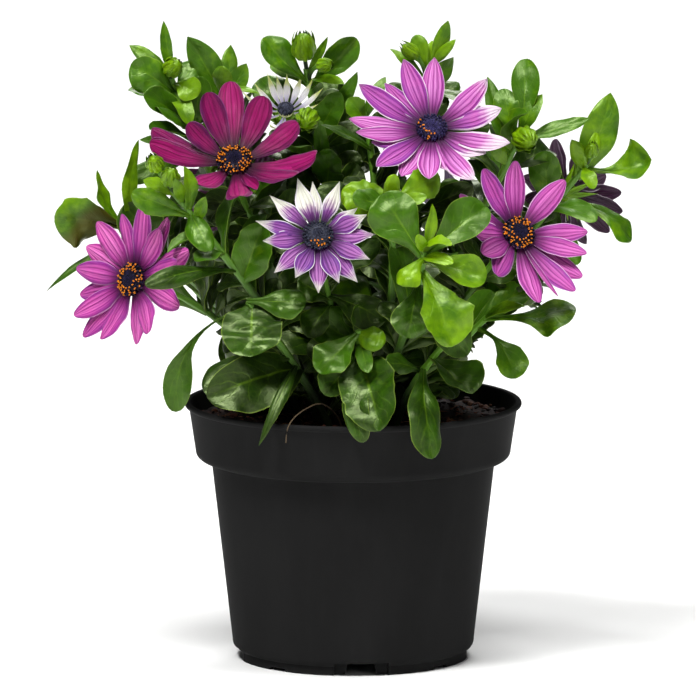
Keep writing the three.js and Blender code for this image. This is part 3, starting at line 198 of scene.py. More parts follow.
@dataclass(frozen=True)
class Pattern:
    """A small mesh in its own unit coordinates, modelled once and laid out many times."""

    corners: np.ndarray
    faces: tuple[Face, ...]

    @classmethod
    def taken_from(cls, piece: bpy.types.Object) -> "Pattern":
        """The piece's mesh as a pattern; the piece itself goes away.

        An extrusion numbers its corners differently from run to run, so they are sorted by place.

        Args:
            piece: A finished mesh object.

        Returns:
            Its vertices and faces.
        """
        mesh = piece.data
        corners = np.empty(len(mesh.vertices) * 3)
        mesh.vertices.foreach_get("co", corners)
        corners = corners.reshape(-1, 3)
        order = np.lexsort(np.round(corners, 7).T)
        rank = np.argsort(order).tolist()
        faces = sorted(tuple(rank[corner] for corner in face.vertices) for face in mesh.polygons)
        bpy.data.objects.remove(piece)
        bpy.data.meshes.remove(mesh)
        return cls(corners[order], tuple(faces))


def deselect_all() -> None:
    """Clears the selection, as an operator acts on all that is selected."""
    for piece in bpy.context.view_layer.objects:
        piece.select_set(False)


def select_only(piece: bpy.types.Object) -> None:
    """Makes this piece the one that operators act on."""
    deselect_all()
    piece.select_set(True)
    bpy.context.view_layer.objects.active = piece


def apply_modifiers(piece: bpy.types.Object) -> None:
    """Applies all the piece's modifiers in their order."""
    select_only(piece)
    for modifier in list(piece.modifiers):
        bpy.ops.object.modifier_apply(modifier=modifier.name)


def blade_pattern(columns: int, rows: int) -> Pattern:
    """A flat blade of two faces: x from edge to edge, y from root to tip, z the two sides.

    Args:
        columns: Faces from edge to edge.
        rows: Faces from root to tip.

    Returns:
        The pattern, from -1 to 1 each way.
    """
    deselect_all()
    bpy.ops.mesh.primitive_grid_add(x_subdivisions=columns, y_subdivisions=rows, size=2)
    blade = bpy.context.object
    sheet = blade.modifiers.new("sides", "SOLIDIFY")
    sheet.thickness = 2
    sheet.offset = 0
    apply_modifiers(blade)
    return Pattern.taken_from(blade)


def stalk_pattern(sides: int, rings: int) -> Pattern:
    """A closed round rod: x and y on the unit circle, z from 0 at its foot to 1 at its head.

    Args:
        sides: Faces round it.
        rings: Faces along it.

    Returns:
        The pattern.
    """
    deselect_all()
    bpy.ops.mesh.primitive_circle_add(vertices=sides, radius=1, fill_type="NGON")
    rod = bpy.context.object
    bpy.ops.object.mode_set(mode="EDIT")
    bpy.ops.mesh.select_all(action="SELECT")
    for _ in range(rings):
        bpy.ops.mesh.extrude_region_move(TRANSFORM_OT_translate={"value": (0, 0, 1 / rings)})
    bpy.ops.mesh.select_all(action="SELECT")
    bpy.ops.mesh.normals_make_consistent(inside=False)
    bpy.ops.object.mode_set(mode="OBJECT")
    return Pattern.taken_from(rod)


def bead_pattern(segments: int, rings: int) -> Pattern:
    """A small round bead of unit radius."""
    deselect_all()
    bpy.ops.mesh.primitive_uv_sphere_add(segments=segments, ring_count=rings, radius=1)
    return Pattern.taken_from(bpy.context.object)


def crumb_pattern() -> Pattern:
    """A lump of peat of about unit radius, which each copy dents in its own way."""
    deselect_all()
    bpy.ops.mesh.primitive_ico_sphere_add(subdivisions=2, radius=1)
    return Pattern.taken_from(bpy.context.object)


@dataclass
class Batch:
    """The shapes of one piece, gathered before they become one mesh."""

    points: list[np.ndarray] = field(default_factory=list)
    faces: list[Face] = field(default_factory=list)
    finishes: list[int] = field(default_factory=list)
    across: list[np.ndarray] = field(default_factory=list)
    marks: dict[str, list[np.ndarray]] = field(default_factory=dict)
    count: int = 0

    def add(self, points: np.ndarray, faces: Iterable[Face], uv: np.ndarray, finish: int = 0,
            **marks: float | np.ndarray) -> None:
        """Adds one shape.

        Args:
            points: Its vertices in millimetres.
            faces: Its faces, by their own vertices.
            uv: Across and along the shape, from 0 to 1, for each vertex.
            finish: Which of the piece's finishes it has.
            **marks: Further values that its finish reads, one for all or one for each vertex.
        """
        start = self.count
        self.points.append(points)
        self.faces.extend(tuple(start + corner for corner in face) for face in faces)
        self.finishes.extend([finish] * (len(self.faces) - len(self.finishes)))
        self.across.append(uv)
        for name, value in marks.items():
            known = self.marks.setdefault(name, [])
            missing = start - sum(len(part) for part in known)
            if missing:
                known.append(np.zeros(missing))
            known.append(np.broadcast_to(np.asarray(value, dtype=float), (len(points),)))
        self.count += len(points)

    def piece(self, name: str, materials: Sequence[bpy.types.Material],
              sharp: float = 60.0) -> bpy.types.Object:
        """Makes the gathered shapes one object.

        Args:
            name: The piece's name.
            materials: Its finishes, in the order that add() counts them.
            sharp: Edges that turn by more degrees than this stay crisp.

        Returns:
            The new object, at the origin.
        """
        mesh = bpy.data.meshes.new(name)
        mesh.from_pydata((np.concatenate(self.points) * MM).tolist(), [], self.faces)
        loops = np.empty(len(mesh.loops), dtype=np.int32)
        mesh.loops.foreach_get("vertex_index", loops)
        uv = np.concatenate(self.across)[loops]
        mesh.uv_layers.new(name="blade").data.foreach_set("uv", uv.ravel())
        for mark, parts in self.marks.items():
            values = np.zeros(self.count)
            filled = np.concatenate(parts)
            values[:len(filled)] = filled
            mesh.attributes.new(mark, "FLOAT", "POINT").data.foreach_set("value", values)
        mesh.polygons.foreach_set("material_index", self.finishes)
        for material in materials:
            mesh.materials.append(material)
        piece = bpy.data.objects.new(name, mesh)
        bpy.context.scene.collection.objects.link(piece)
        mesh.update()
        select_only(piece)
        bpy.ops.object.shade_smooth_by_angle(angle=math.radians(sharp))
        return piece


@dataclass(frozen=True)
class Patterns:
    """Every pattern that the plant is made of."""

    leaf: Pattern
    small_leaf: Pattern
    petal: Pattern
    bract: Pattern
    stem: Pattern
    turned: Pattern
    bead: Pattern
    crumb: Pattern

    @classmethod
    def cut(cls) -> "Patterns":
        """Models each pattern."""
        return cls(leaf=blade_pattern(10, 20), small_leaf=blade_pattern(6, 10),
                   petal=blade_pattern(12, 16), bract=blade_pattern(4, 8),
                   stem=stalk_pattern(9, 26), turned=stalk_pattern(24, 10),
                   bead=bead_pattern(6, 5), crumb=crumb_pattern())


# ---------------- shader expressions


Value = Any  # a wire, or what a socket takes: a number, a vector or a colour code


@dataclass(frozen=True)
class Wire:
    """A shader value that can be used in a sum like a number."""

    board: "Board"
    socket: bpy.types.NodeSocket

    def _math(self, operation: str, *values: Value) -> "Wire":
        """One Math node on these values."""
        return self.board.node("ShaderNodeMath", {"operation": operation}, dict(enumerate(values)))

    def __add__(self, other: Value) -> "Wire":
        """This value and the other together."""
        return self._math("ADD", self, other)

    __radd__ = __add__

    def __sub__(self, other: Value) -> "Wire":
        """This value less the other."""
        return self._math("SUBTRACT", self, other)

    def __rsub__(self, other: Value) -> "Wire":
        """The other less this value."""
        return self._math("SUBTRACT", other, self)

    def __mul__(self, other: Value) -> "Wire":
        """This value times the other."""
        return self._math("MULTIPLY", self, other)

    __rmul__ = __mul__

    def sine(self) -> "Wire":
        """The sine of this value."""
        return self._math("SINE", self)

    def size(self) -> "Wire":
        """This value without its sign."""
        return self._math("ABSOLUTE", self)

    def larger(self, other: Value) -> "Wire":
        """The larger of the two."""
        return self._math("MAXIMUM", self, other)

    def step(self, low: float, high: float) -> "Wire":
        """0 at low, 1 at high and soft between; low may be the larger."""
        if low > high:
            return 1 - self.step(high, low)
        return self.board.node("ShaderNodeMapRange", {"interpolation_type": "SMOOTHSTEP"},
                               {"Value": self, "From Min": low, "From Max": high})


class Board:
    """One material's nodes."""

    def __init__(self, name: str) -> None:
        """Starts a material of this name, with no nodes yet."""
        self.material = bpy.data.materials.new(name)
        self.material.use_nodes = True
        self.tree = self.material.node_tree
        self.tree.nodes.clear()

    def node(self, kind: str, settings: dict[str, Any] | None = None,
             inputs: dict[str | int, Value] | None = None,
             output: str | int | None = 0) -> Wire | None:
        """Adds a node.

        Args:
            kind: The node's type.
            settings: Its own settings; "stops" are a colour ramp's places and colour codes.
            inputs: The value, wire or colour code of each socket, by its name or number.
            output: Which of its outputs is wanted, or None where it has none.

        Returns:
            That output.
        """
        node = self.tree.nodes.new(kind)
        for name, value in (settings or {}).items():
            if name == "stops":
                self._set_stops(node.color_ramp, value)
            else:
                setattr(node, name, value)
        for key, value in (inputs or {}).items():
            socket = node.inputs[key]
            if isinstance(value, Wire):
                self.tree.links.new(value.socket, socket)
            else:
                socket.default_value = colour(value) if isinstance(value, str) else value
        return None if output is None else Wire(self, node.outputs[output])

    @staticmethod
    def _set_stops(ramp: bpy.types.ColorRamp, stops: Sequence[tuple[float, str]]) -> None:
        """Gives a colour ramp these stops."""
        while len(ramp.elements) < len(stops):
            ramp.elements.new(1.0)
        for element, (at, code) in zip(ramp.elements, stops):
            element.position = at
            element.color = colour(code)

    def ramp(self, value: Wire, stops: Sequence[tuple[float, str]]) -> Wire:
        """The colour that a ramp has at value."""
        return self.node("ShaderNodeValToRGB", {"stops": stops}, {"Fac": value})

    def mix(self, part: Value, first: Value, second: Value) -> Wire:
        """Two colours mixed: all first at part 0, all second at part 1."""
        return self.node("ShaderNodeMix", {"data_type": "RGBA"},
                         {0: part, 6: first, 7: second}, output=2)

    def mark(self, name: str) -> Wire:
        """A value that the mesh carries."""
        return self.node("ShaderNodeAttribute", {"attribute_name": name}, output="Fac")

    def blade(self) -> tuple[Wire, Wire]:
        """Across the blade from -1 to 1, and along it from 0 at the root to 1 at the tip."""
        uv = self.node("ShaderNodeUVMap", {"uv_map": "blade"})
        across = self.node("ShaderNodeSeparateXYZ", None, {0: uv}, output="X")
        along = self.node("ShaderNodeSeparateXYZ", None, {0: uv}, output="Y")
        return across * 2 - 1, along

    def grain(self, size: float, detail: float = 2.0, stretch: Point | None = None) -> Wire:
        """Soft noise over the object.

        Args:
            size: The grains' size in millimetres.
            detail: How many finer layers it has.
            stretch: How many times closer the grains lie along x, y and z.

        Returns:
            The noise, mostly between 0.3 and 0.7.
        """
        at = self.node("ShaderNodeTexCoord", output="Object")
        if stretch is not None:
            at = self.node("ShaderNodeMapping", None, {"Vector": at, "Scale": tuple(stretch)})
        return self.node("ShaderNodeTexNoise", None,
                         {"Vector": at, "Scale": 1 / (size * MM), "Detail": detail})

    def cells(self, size: float) -> Wire:
        """A net over the object: how far off its nearest thread is, in parts of a mesh's size."""
        at = self.node("ShaderNodeTexCoord", output="Object")
        return self.node("ShaderNodeTexVoronoi", {"feature": "DISTANCE_TO_EDGE"},
                         {"Vector": at, "Scale": 1 / (size * MM)}, output="Distance")

    def bump(self, height: Wire, depth: float, under: Wire | None = None) -> Wire:
        """A raised surface.

        Args:
            height: The relief, from 0 to 1.
            depth: How far 1 stands above 0, in millimetres.
            under: A relief that this one lies on.

        Returns:
            The surface's direction.
        """
        inputs: dict[str | int, Value] = {"Height": height, "Distance": depth * MM, "Strength": 1.0}
        if under is not None:
            inputs["Normal"] = under
        return self.node("ShaderNodeBump", None, inputs)

    def finish(self, surface: Wire) -> bpy.types.Material:
        """Ends the material with this surface."""
        self.node("ShaderNodeOutputMaterial", None, {"Surface": surface}, output=None)
        return self.material


def colour(code: str) -> tuple[float, float, float, float]:
    """A screen colour such as "3f7d14" as the light that it stands for."""
    parts = [int(code[index:index + 2], 16) / 255 for index in (0, 2, 4)]
    light = [part / 12.92 if part <= 0.04045 else ((part + 0.055) / 1.055)**2.4 for part in parts]
    return light[0], light[1], light[2], 1.0


@dataclass(frozen=True)
class LeafFinish:
    """Glossy leaves: bright when young, deep green when grown, with veins and a pale edge; the
    darkest stop is painted shade for leaves deep in the plant.
    """

    young: str = "84b004"
    mid: str = "386600"
    grown: str = "132e00"
    # the ramp's darkest stop: painted shade for the leaves deep in the plant
    deep: str = "081602"
    vein: str = "86b020"
    edge: str = "a6c24a"
    under: str = "3a540c"
    olive: str = "453c0c"
    glow: str = "5f9a08"
    shine: str = "e6ffb4"
    veins: float = 6.0

    def material(self, name: str = "leaf") -> bpy.types.Material:
        """Builds the material; the "olive" mark says how brown a leaf's face is."""
        board = Board(name)
        across, along = board.blade()
        side = across.size()
        tone, under = board.mark("tone"), board.mark("under")
        cloud = board.grain(9.0)
        mottle = board.grain(2.6, detail=3.0)
        net = board.cells(2.2).step(0.0, 0.25)
        # a tone above 1 is painted shade: leaves deep in the plant run towards the darkest green
        shade = tone * 0.75 + (cloud - 0.5) * 0.42 + (mottle - 0.5) * 0.3
        body = board.ramp(shade, [(0.0, self.young), (0.3, self.mid),
                                  (0.72, self.grown), (1.0, self.deep)])
        rib = side.step(0.07, 0.01) * along.step(1.0, 0.4)
        wander = (cloud - 0.5) * 1.8
        comb = ((along * self.veins - side * 2.2 + wander) * math.tau).sine()
        vein = comb.step(0.8, 1.0) * side.step(0.95, 0.4)
        body = board.mix((1 - net) * 0.03 + vein * 0.07 + rib * 0.3, body, self.vein)
        body = board.mix(side.step(0.94, 1.0) * 0.35, body, self.edge)
        body = board.mix(board.mark("olive"), body, self.olive)
        below = board.mix(vein * 0.2 + rib * 0.5, self.under, self.vein)
        below = board.mix(0.35 + tone * 0.3, below, body)
        skin = board.mix(under, body, below)
        relief = board.bump(board.grain(13.0, detail=0.4), 1.4)
        relief = board.bump(mottle, 0.13, relief)
        relief = board.bump(net * 0.6 - vein * 0.9 - rib * 0.8, 0.04, relief)
        surface = board.node("ShaderNodeBsdfPrincipled", None, {
            "Base Color": skin, "Roughness": 0.33 + cloud * 0.14 + under * 0.2,
            "Normal": relief, "Specular IOR Level": 0.7, "Specular Tint": self.shine})
        glow = board.node("ShaderNodeBsdfTranslucent", None, {"Color": self.glow})
        part = (0.15 - tone * 0.16).larger(0.01)
        return board.finish(board.node("ShaderNodeMixShader", None, {0: part, 1: surface, 2: glow}))


@dataclass(frozen=True)
class StemFinish:
    """Ridged green stems, brighter towards their tips."""

    low: str = "1c300c"
    high: str = "5d921c"
    ridge: str = "86b04a"

    def material(self, name: str = "stem") -> bpy.types.Material:
        """Builds the material."""
        board = Board(name)
        across, along = board.blade()
        cloud = board.grain(5.0)
        ridge = (across * 5 * math.pi).sine().step(-0.2, 1.0)
        body = board.mix(ridge * 0.3 + (cloud - 0.5) * 0.5, self.high, self.ridge)
        body = board.mix(along.step(0.35, 0.85), self.low, body)
        relief = board.bump(ridge, 0.12)
        relief = board.bump(board.grain(0.8), 0.06, relief)
        return board.finish(board.node("ShaderNodeBsdfPrincipled", None, {
            "Base Color": body, "Roughness": 0.4 + cloud * 0.2, "Normal": relief}))


@dataclass(frozen=True)
class PetalFinish:
    """A petal's colours: body, stripes, a second hue, the pale tip and edge, the dark base, with
    painted highlight, painted shade and painted glow.
    """

    body: str
    stripe: str
    # hue: the second hue, which also darkens the edges; partly the petal's own violet, partly painted
    # shade
    hue: str
    edge: str
    tip: str
    # base: the petal's own dark throat, spread further out as painted shade near the disc
    base: str
    under: str
    under_stripe: str
    # lit: a painted highlight along each petal's middle, between the stripes
    lit: str = ""
    tip_from: float = 1.2
    edge_part: float = 0.6
    stripes: float = 0.6
    glow: float = 0.15
    # shine: how strongly the petal glows of itself, painted light
    shine: float = 0.0
    ridge: float = 0.22

    def material(self, name: str) -> bpy.types.Material:
        """Builds the material.

        Args:
            name: The material's name.

        Returns:
            A petal whose paleness also follows the mesh's own "pale" mark.
        """
        board = Board(name)
        across, along = board.blade()
        side = across.size()
        tone, under, pale = board.mark("tone"), board.mark("under"), board.mark("pale")
        cloud = board.grain(3.4)
        wander = (cloud - 0.5) * 1.3 + tone * 2.0
        fine = (across * 27 + wander * 1.6).sine().step(0.0, 1.0)
        broad = (across * 15 + wander + math.pi / 2).sine().step(0.35, 1.0)
        line = broad * 0.6 + fine * 0.4
        fade = along.step(1.1, 0.45)
        # darker violet towards the edges: partly the petal's own hue, partly painted shade
        body = board.mix((tone - 0.5) * 0.9 + (cloud - 0.5) * 1.2 + side.step(0.3, 1.0) * 0.55,
                         self.body, self.hue)
        # painted highlight: lighter along the middle of the petal, between the stripes
        painted_highlight = along.step(0.2, 0.55) * side.step(1.0, 0.3) * (1.4 - tone)
        body = board.mix(painted_highlight * (1 - line) * 0.8, body, self.lit or self.body)
        body = board.mix(line * self.stripes * (0.4 + fade * 0.6), body, self.stripe)
        # darker towards the root: partly the petal's own colour, partly painted shade
        body = board.mix(along.step(0.85, 0.15) * 0.5, body, self.stripe)
        rise = along + (cloud - 0.5) * 0.25 - line * 0.1 + side * 0.05 + pale * 0.5
        body = board.mix(rise.step(self.tip_from, self.tip_from + 0.3), body, self.tip)
        rim = (side + pale * 0.14).step(0.89, 0.985) * along.step(0.1, 0.4)
        body = board.mix(rim * (self.edge_part + pale * 0.4), body, self.edge)
        # the dark base: the petal's own throat, widened as painted shade near the disc
        body = board.mix(along.step(0.5, 0.06) * 0.97, body, self.base)
        below = board.mix(line * 0.8, self.under, self.under_stripe)
        below = board.mix(rim * 0.7, below, self.edge)
        skin = board.mix(under, body, below)
        relief = board.bump(1 - broad, self.ridge)
        relief = board.bump(fine, 0.08, relief)
        relief = board.bump(board.grain(0.6), 0.05, relief)
        # the emission by shine is painted light: the petal glows though it is no lamp
        surface = board.node("ShaderNodeBsdfPrincipled", None, {
            "Base Color": skin, "Roughness": 0.45 + cloud * 0.16, "Normal": relief,
            "Specular IOR Level": 0.3, "Emission Color": skin,
            "Emission Strength": self.shine})
        glow = board.node("ShaderNodeBsdfTranslucent", None, {"Color": self.body})
        return board.finish(board.node("ShaderNodeMixShader", None,
                                       {0: self.glow, 1: surface, 2: glow}))


@dataclass(frozen=True)
class FloretFinish:
    """The disc's florets: dark and tight in the middle, tipped with pollen at the rim."""

    dark: str
    lit: str
    pollen: str = "ef9418"
    pollen_shade: str = "b3540c"

    def material(self, name: str) -> bpy.types.Material:
        """Builds the material; the mesh's "pollen" mark says which beads are anthers."""
        board = Board(name)
        tone, pollen = board.mark("tone"), board.mark("pollen")
        fleck = board.grain(0.45, detail=1.0)
        body = board.mix(tone * 0.8 + (fleck - 0.5) * 0.8, self.dark, self.lit)
        dust = board.mix(fleck.step(0.35, 0.6) * 0.6 + tone * 0.4, self.pollen_shade, self.pollen)
        skin = board.mix(pollen, body, dust)
        return board.finish(board.node("ShaderNodeBsdfPrincipled", None, {
            "Base Color": skin, "Roughness": 0.55, "Normal": board.bump(fleck, 0.08),
            "Specular IOR Level": 0.25}))


@dataclass(frozen=True)
class PotFinish:
    """Thin satin black plastic, with the faint swirl of the mould."""

    body: str = "1f1f1f"
    worn: str = "292929"

    def material(self, name: str = "pot_plastic") -> bpy.types.Material:
        """Builds the material."""
        board = Board(name)
        cloud = board.grain(26.0, detail=3.0, stretch=place(1, 1, 0.4))
        fine = board.grain(0.5, detail=2.0)
        streak = board.grain(3.0, detail=2.0, stretch=place(1, 1, 0.08))
        body = board.mix(cloud.step(0.35, 0.75) * 0.35 + streak.step(0.5, 0.75) * 0.1,
                         self.body, self.worn)
        relief = board.bump(fine, 0.025)
        relief = board.bump(cloud, 0.35, relief)
        return board.finish(board.node("ShaderNodeBsdfPrincipled", None, {
            "Base Color": body, "Roughness": 0.46 + cloud * 0.16 + fine * 0.06, "Normal": relief,
            "IOR": 1.06}))


@dataclass(frozen=True)
class PeatFinish:
    """Damp peat: dark earth, red-brown crumbs and a few straw-coloured fibres."""

    damp: str = "0e0705"
    earth: str = "20100c"
    crumb: str = "5c3324"
    straw: str = "86654a"

    def material(self, name: str = "peat") -> bpy.types.Material:
        """Builds the material; "tone" runs from damp earth at 0 to straw at 1."""
        board = Board(name)
        tone = board.mark("tone")
        fleck = board.grain(1.1, detail=4.0)
        body = board.ramp(tone * 0.8 + (fleck - 0.5) * 0.7 + 0.1, [
            (0.0, self.damp), (0.32, self.earth), (0.62, self.crumb),
            (1.0, self.straw)])
        relief = board.bump(fleck, 0.5)
        return board.finish(board.node("ShaderNodeBsdfPrincipled", None, {
            "Base Color": body, "Roughness": 0.7 + fleck * 0.25, "Normal": relief,
            "Specular IOR Level": 0.25}))


@dataclass(frozen=True)
class StrandFinish:
    """A dry bleached stalk, streaked along its length."""

    pale: str = "806a4a"
    dark: str = "3a2c1c"

    def material(self, name: str = "dry_stalk") -> bpy.types.Material:
        """Builds the material."""
        board = Board(name)
        across, _ = board.blade()
        fleck = board.grain(1.6, detail=3.0)
        streak = (across * 12 + fleck * 5).sine().step(-0.5, 1.0)
        body = board.mix(streak * 0.5 + fleck * 0.4, self.dark, self.pale)
        return board.finish(board.node("ShaderNodeBsdfPrincipled", None, {
            "Base Color": body, "Roughness": 0.7, "Normal": board.bump(streak, 0.1)}))


@dataclass(frozen=True)
class FloorFinish:
    """The plain pale floor."""

    paint: str = "f4f4f3"

    def material(self, name: str = "floor") -> bpy.types.Material:
        """Builds the material."""
        board = Board(name)
        paint = board.mix(board.grain(400.0).step(0.3, 0.7) * 0.04, self.paint, "ffffff")
        return board.finish(board.node("ShaderNodeBsdfPrincipled", None, {
            "Base Color": paint, "Roughness": 0.9, "Specular IOR Level": 0.1}))


# ---------------- blades


class Outline(Enum):
    """Outlines of leaves and petals: a round tip or not, and half widths from root to tip."""

    BROAD = (True, ((0, 0.14), (0.2, 0.24), (0.42, 0.62), (0.62, 0.98), (0.8, 0.96), (0.93, 0.64),
                    (1, 0.03)))
    OVAL = (True, ((0, 0.2), (0.12, 0.5), (0.32, 0.93), (0.55, 1.02), (0.8, 0.88), (0.93, 0.58),
                   (1, 0.03)))
    LANCE = (False, ((0, 0.3), (0.2, 0.56), (0.45, 0.95), (0.6, 1.0), (0.8, 0.74), (0.93, 0.36),
                     (1, 0.03)))
    SPOON = (True, ((0, 0.12), (0.35, 0.17), (0.55, 0.5), (0.72, 0.95), (0.86, 1.0), (0.95, 0.7),
                    (1, 0.03)))
    STALKED = (True, ((0, 0.1), (0.4, 0.12), (0.56, 0.34), (0.72, 0.9), (0.86, 1.0), (0.95, 0.7),
                      (1, 0.03)))
    PETAL = (True, ((0, 0.18), (0.22, 0.52), (0.46, 0.93), (0.64, 1.0), (0.82, 0.82), (0.93, 0.5),
                    (1, 0.04)))
    TAPERED = (False, ((0, 0.16), (0.24, 0.52), (0.48, 0.92), (0.64, 1.0), (0.82, 0.76),
                       (0.93, 0.42), (1, 0.04)))
    ROUND_PETAL = (True, ((0, 0.16), (0.34, 0.56), (0.6, 0.95), (0.78, 1.04), (0.92, 0.8),
                          (1, 0.05)))
    POINTED = (False, ((0, 0.14), (0.3, 0.56), (0.5, 0.94), (0.66, 0.86), (0.85, 0.38), (1, 0.02)))
    BRACT = (False, ((0, 0.8), (0.35, 1.0), (0.7, 0.7), (1, 0.04)))

    def half(self, along: np.ndarray) -> np.ndarray:
        """The half width at these parts of the way, where the widest is 1."""
        is_round, stops = self.value
        places, widths = (np.array(column, dtype=float) for column in zip(*stops))
        if is_round:
            places = 1 - np.sqrt(1 - places)
            along = 1 - np.sqrt(np.clip(1 - along, 0, 1))
        return np.clip(smooth_through(places, widths, along), 0.01, None)


TIP_CROWDING = 1.6  # the rows of a blade lie closer towards its tip
HAND_SHIFT = 0.27  # how far each half's waves and teeth are shifted, either way


@dataclass(frozen=True)
class Blade:
    """A leaf, petal or bract: where it lies and how its face is shaped.

    Attributes:
        spine: From root to tip.
        side: Straight across the blade; its upper face is on side x spine.
        width: Its widest.
        outline: Its outline.
        thickness: At the middle of the blade.
        root_thickness: Further thickness at its root.
        fold: How far each half slopes up from the rib, by its width.
        roll: How far each half rolls up, in radians.
        curl: How far the very edge turns up, by the half width.
        twist: How far the tip is turned about the spine, in radians.
        bow: How far the middle lifts off the spine, by the length.
        ripple: How far the edge waves, by the half width.
        buckle: How far the whole face waves, by the half width.
        teeth: How far the edge's few teeth stand out, by the half width.
        ridges: How far three long ridges stand up, by the half width.
        hook: How far the last of the blade bends down, by its length.
        uneven: How much wider one half is than the other.
        groove: Depth of the midrib's groove.
        phase: Where waves and teeth begin.
    """

    spine: Bend
    side: Point
    width: float
    outline: Outline
    thickness: float = 0.7
    root_thickness: float = 0.0
    fold: float = 0.0
    roll: float = 0.0
    curl: float = 0.0
    twist: float = 0.0
    bow: float = 0.0
    ripple: float = 0.0
    buckle: float = 0.0
    teeth: float = 0.0
    ridges: float = 0.0
    hook: float = 0.0
    uneven: float = 0.0
    groove: float = 0.0
    phase: float = 0.0

    def points(self, corners: np.ndarray) -> np.ndarray:
        """Lays the corners of a blade pattern out along this blade.

        Args:
            corners: Places across, along and on which face, from -1 to 1.

        Returns:
            The points in millimetres.
        """
        across, level = corners[:, 0], corners[:, 2]
        along = self.along(corners)
        side = np.abs(across)
        centre = self.spine.at(along)
        tangent = self.spine.along(along)
        normal = unit(np.cross(self.side, tangent))
        out = np.cross(tangent, normal)
        turn = (self.twist * along)[:, None]
        out, normal = (out * np.cos(turn) + normal * np.sin(turn),
                       normal * np.cos(turn) - out * np.sin(turn))
        # the outline, with its teeth and its wider half
        half = self.width / 2 * self.outline.half(along)
        hand = np.sign(across) * HAND_SHIFT
        tooth = (4.5 * along + self.phase + hand) % 1.0
        tooth = tooth**2 * smooth_step(1.0, 0.86, tooth)
        tooth = tooth * smooth_step(0.3, 0.5, along) * smooth_step(1.0, 0.9, along)
        half = half * (1 + self.teeth * tooth * side**3 + self.uneven * np.sign(across))
        # the rolled and folded halves, and the edge that turns up
        bend = np.where(np.abs(self.roll * across) < 1e-4, 1e-4, self.roll * across)
        sideways = half * across * np.sin(bend) / bend
        lift = half * across * (1 - np.cos(bend)) / bend
        lift = lift + half * (self.fold * (np.sqrt(side**2 + 0.01) - 0.1) + self.curl * side**3)
        # the waving edge, the ridges and the uneven face
        wave = np.sin(math.tau * (2.3 * along + self.phase + hand))
        lift = lift + half * self.ripple * side**2 * wave
        lift = lift + half * self.ridges * np.cos(3 * math.pi * across)
        swell = np.sin(math.tau * (2.1 * along + 0.45 * across + 1.7 * self.phase))
        swell = swell + 0.6 * np.sin(math.tau * (3.7 * along - 0.6 * across + 2.9 * self.phase))
        lift = lift + half * self.buckle * swell * smooth_step(0.1, 0.4, along)
        # the groove, the bow and the hook
        lift = lift - self.groove * np.exp(-(across / 0.13)**2) * (1 - along)**0.6
        length = self.spine.length()
        lift = lift + self.bow * length * 4 * along * (1 - along)
        lift = lift - self.hook * length * np.clip(along - 0.45, 0, 1)**2
        # thinner towards its edge and tip, with a rib under the groove
        thick = 0.5 * self.thickness * (1 - 0.78 * side**2) * smooth_step(1.35, 0.2, along)
        thick = thick + 0.5 * self.root_thickness * (1 - along)**3 * np.sqrt(1 - 0.9 * side**2)
        rib = 0.5 * self.groove * np.exp(-(across / 0.16)**2) * (1 - along)
        face = normal * np.cos(bend)[:, None] - out * np.sin(bend)[:, None]
        depth = level * thick - np.where(level < 0, rib, 0.0)
        return centre + out * sideways[:, None] + normal * lift[:, None] + face * depth[:, None]

    @staticmethod
    def along(corners: np.ndarray) -> np.ndarray:
        """How far along the blade each corner of a pattern lies, from 0 to 1."""
        return 1 - np.clip(1 - (corners[:, 1] + 1) / 2, 0, 1)**TIP_CROWDING

    def add_to(self, batch: Batch, pattern: Pattern, finish: int = 0, **marks: float) -> None:
        """Adds this blade to a piece.

        Args:
            batch: The piece's shapes.
            pattern: The blade pattern to lay out.
            finish: Which of the piece's finishes it has.
            **marks: Further values for its finish.
        """
        corners = pattern.corners
        uv = np.column_stack(((corners[:, 0] + 1) / 2, self.along(corners)))
        under = np.where(corners[:, 2] < 0, 1.0, 0.0)
        batch.add(self.points(corners), pattern.faces, uv, finish, under=under, **marks)


def rod_points(corners: np.ndarray, curve: Bend, radius: np.ndarray) -> np.ndarray:
    """Lays a stalk pattern out along a curve.

    Args:
        corners: The pattern's corners.
        curve: The rod's middle.
        radius: Its radius at each corner.

    Returns:
        The points in millimetres.
    """
    rings = np.unique(np.round(corners[:, 2], 6))
    middles, tangents = curve.at(rings), curve.along(rings)
    sides = np.empty_like(middles)
    side = np.cross(tangents[0], place(0.3, 1, 0.1))
    for index, tangent in enumerate(tangents):
        side = unit(side - tangent * np.dot(side, tangent))
        sides[index] = side
    ring = np.searchsorted(rings, np.round(corners[:, 2], 6))
    other = np.cross(tangents, sides)
    reach = radius[:, None]
    return (middles[ring] + sides[ring] * corners[:, 0:1] * reach
            + other[ring] * corners[:, 1:2] * reach)


def rod_uv(corners: np.ndarray) -> np.ndarray:
    """Round a stalk pattern and along it, from 0 to 1."""
    return np.column_stack((np.arctan2(corners[:, 1], corners[:, 0]) / math.tau + 0.5,
                            corners[:, 2]))


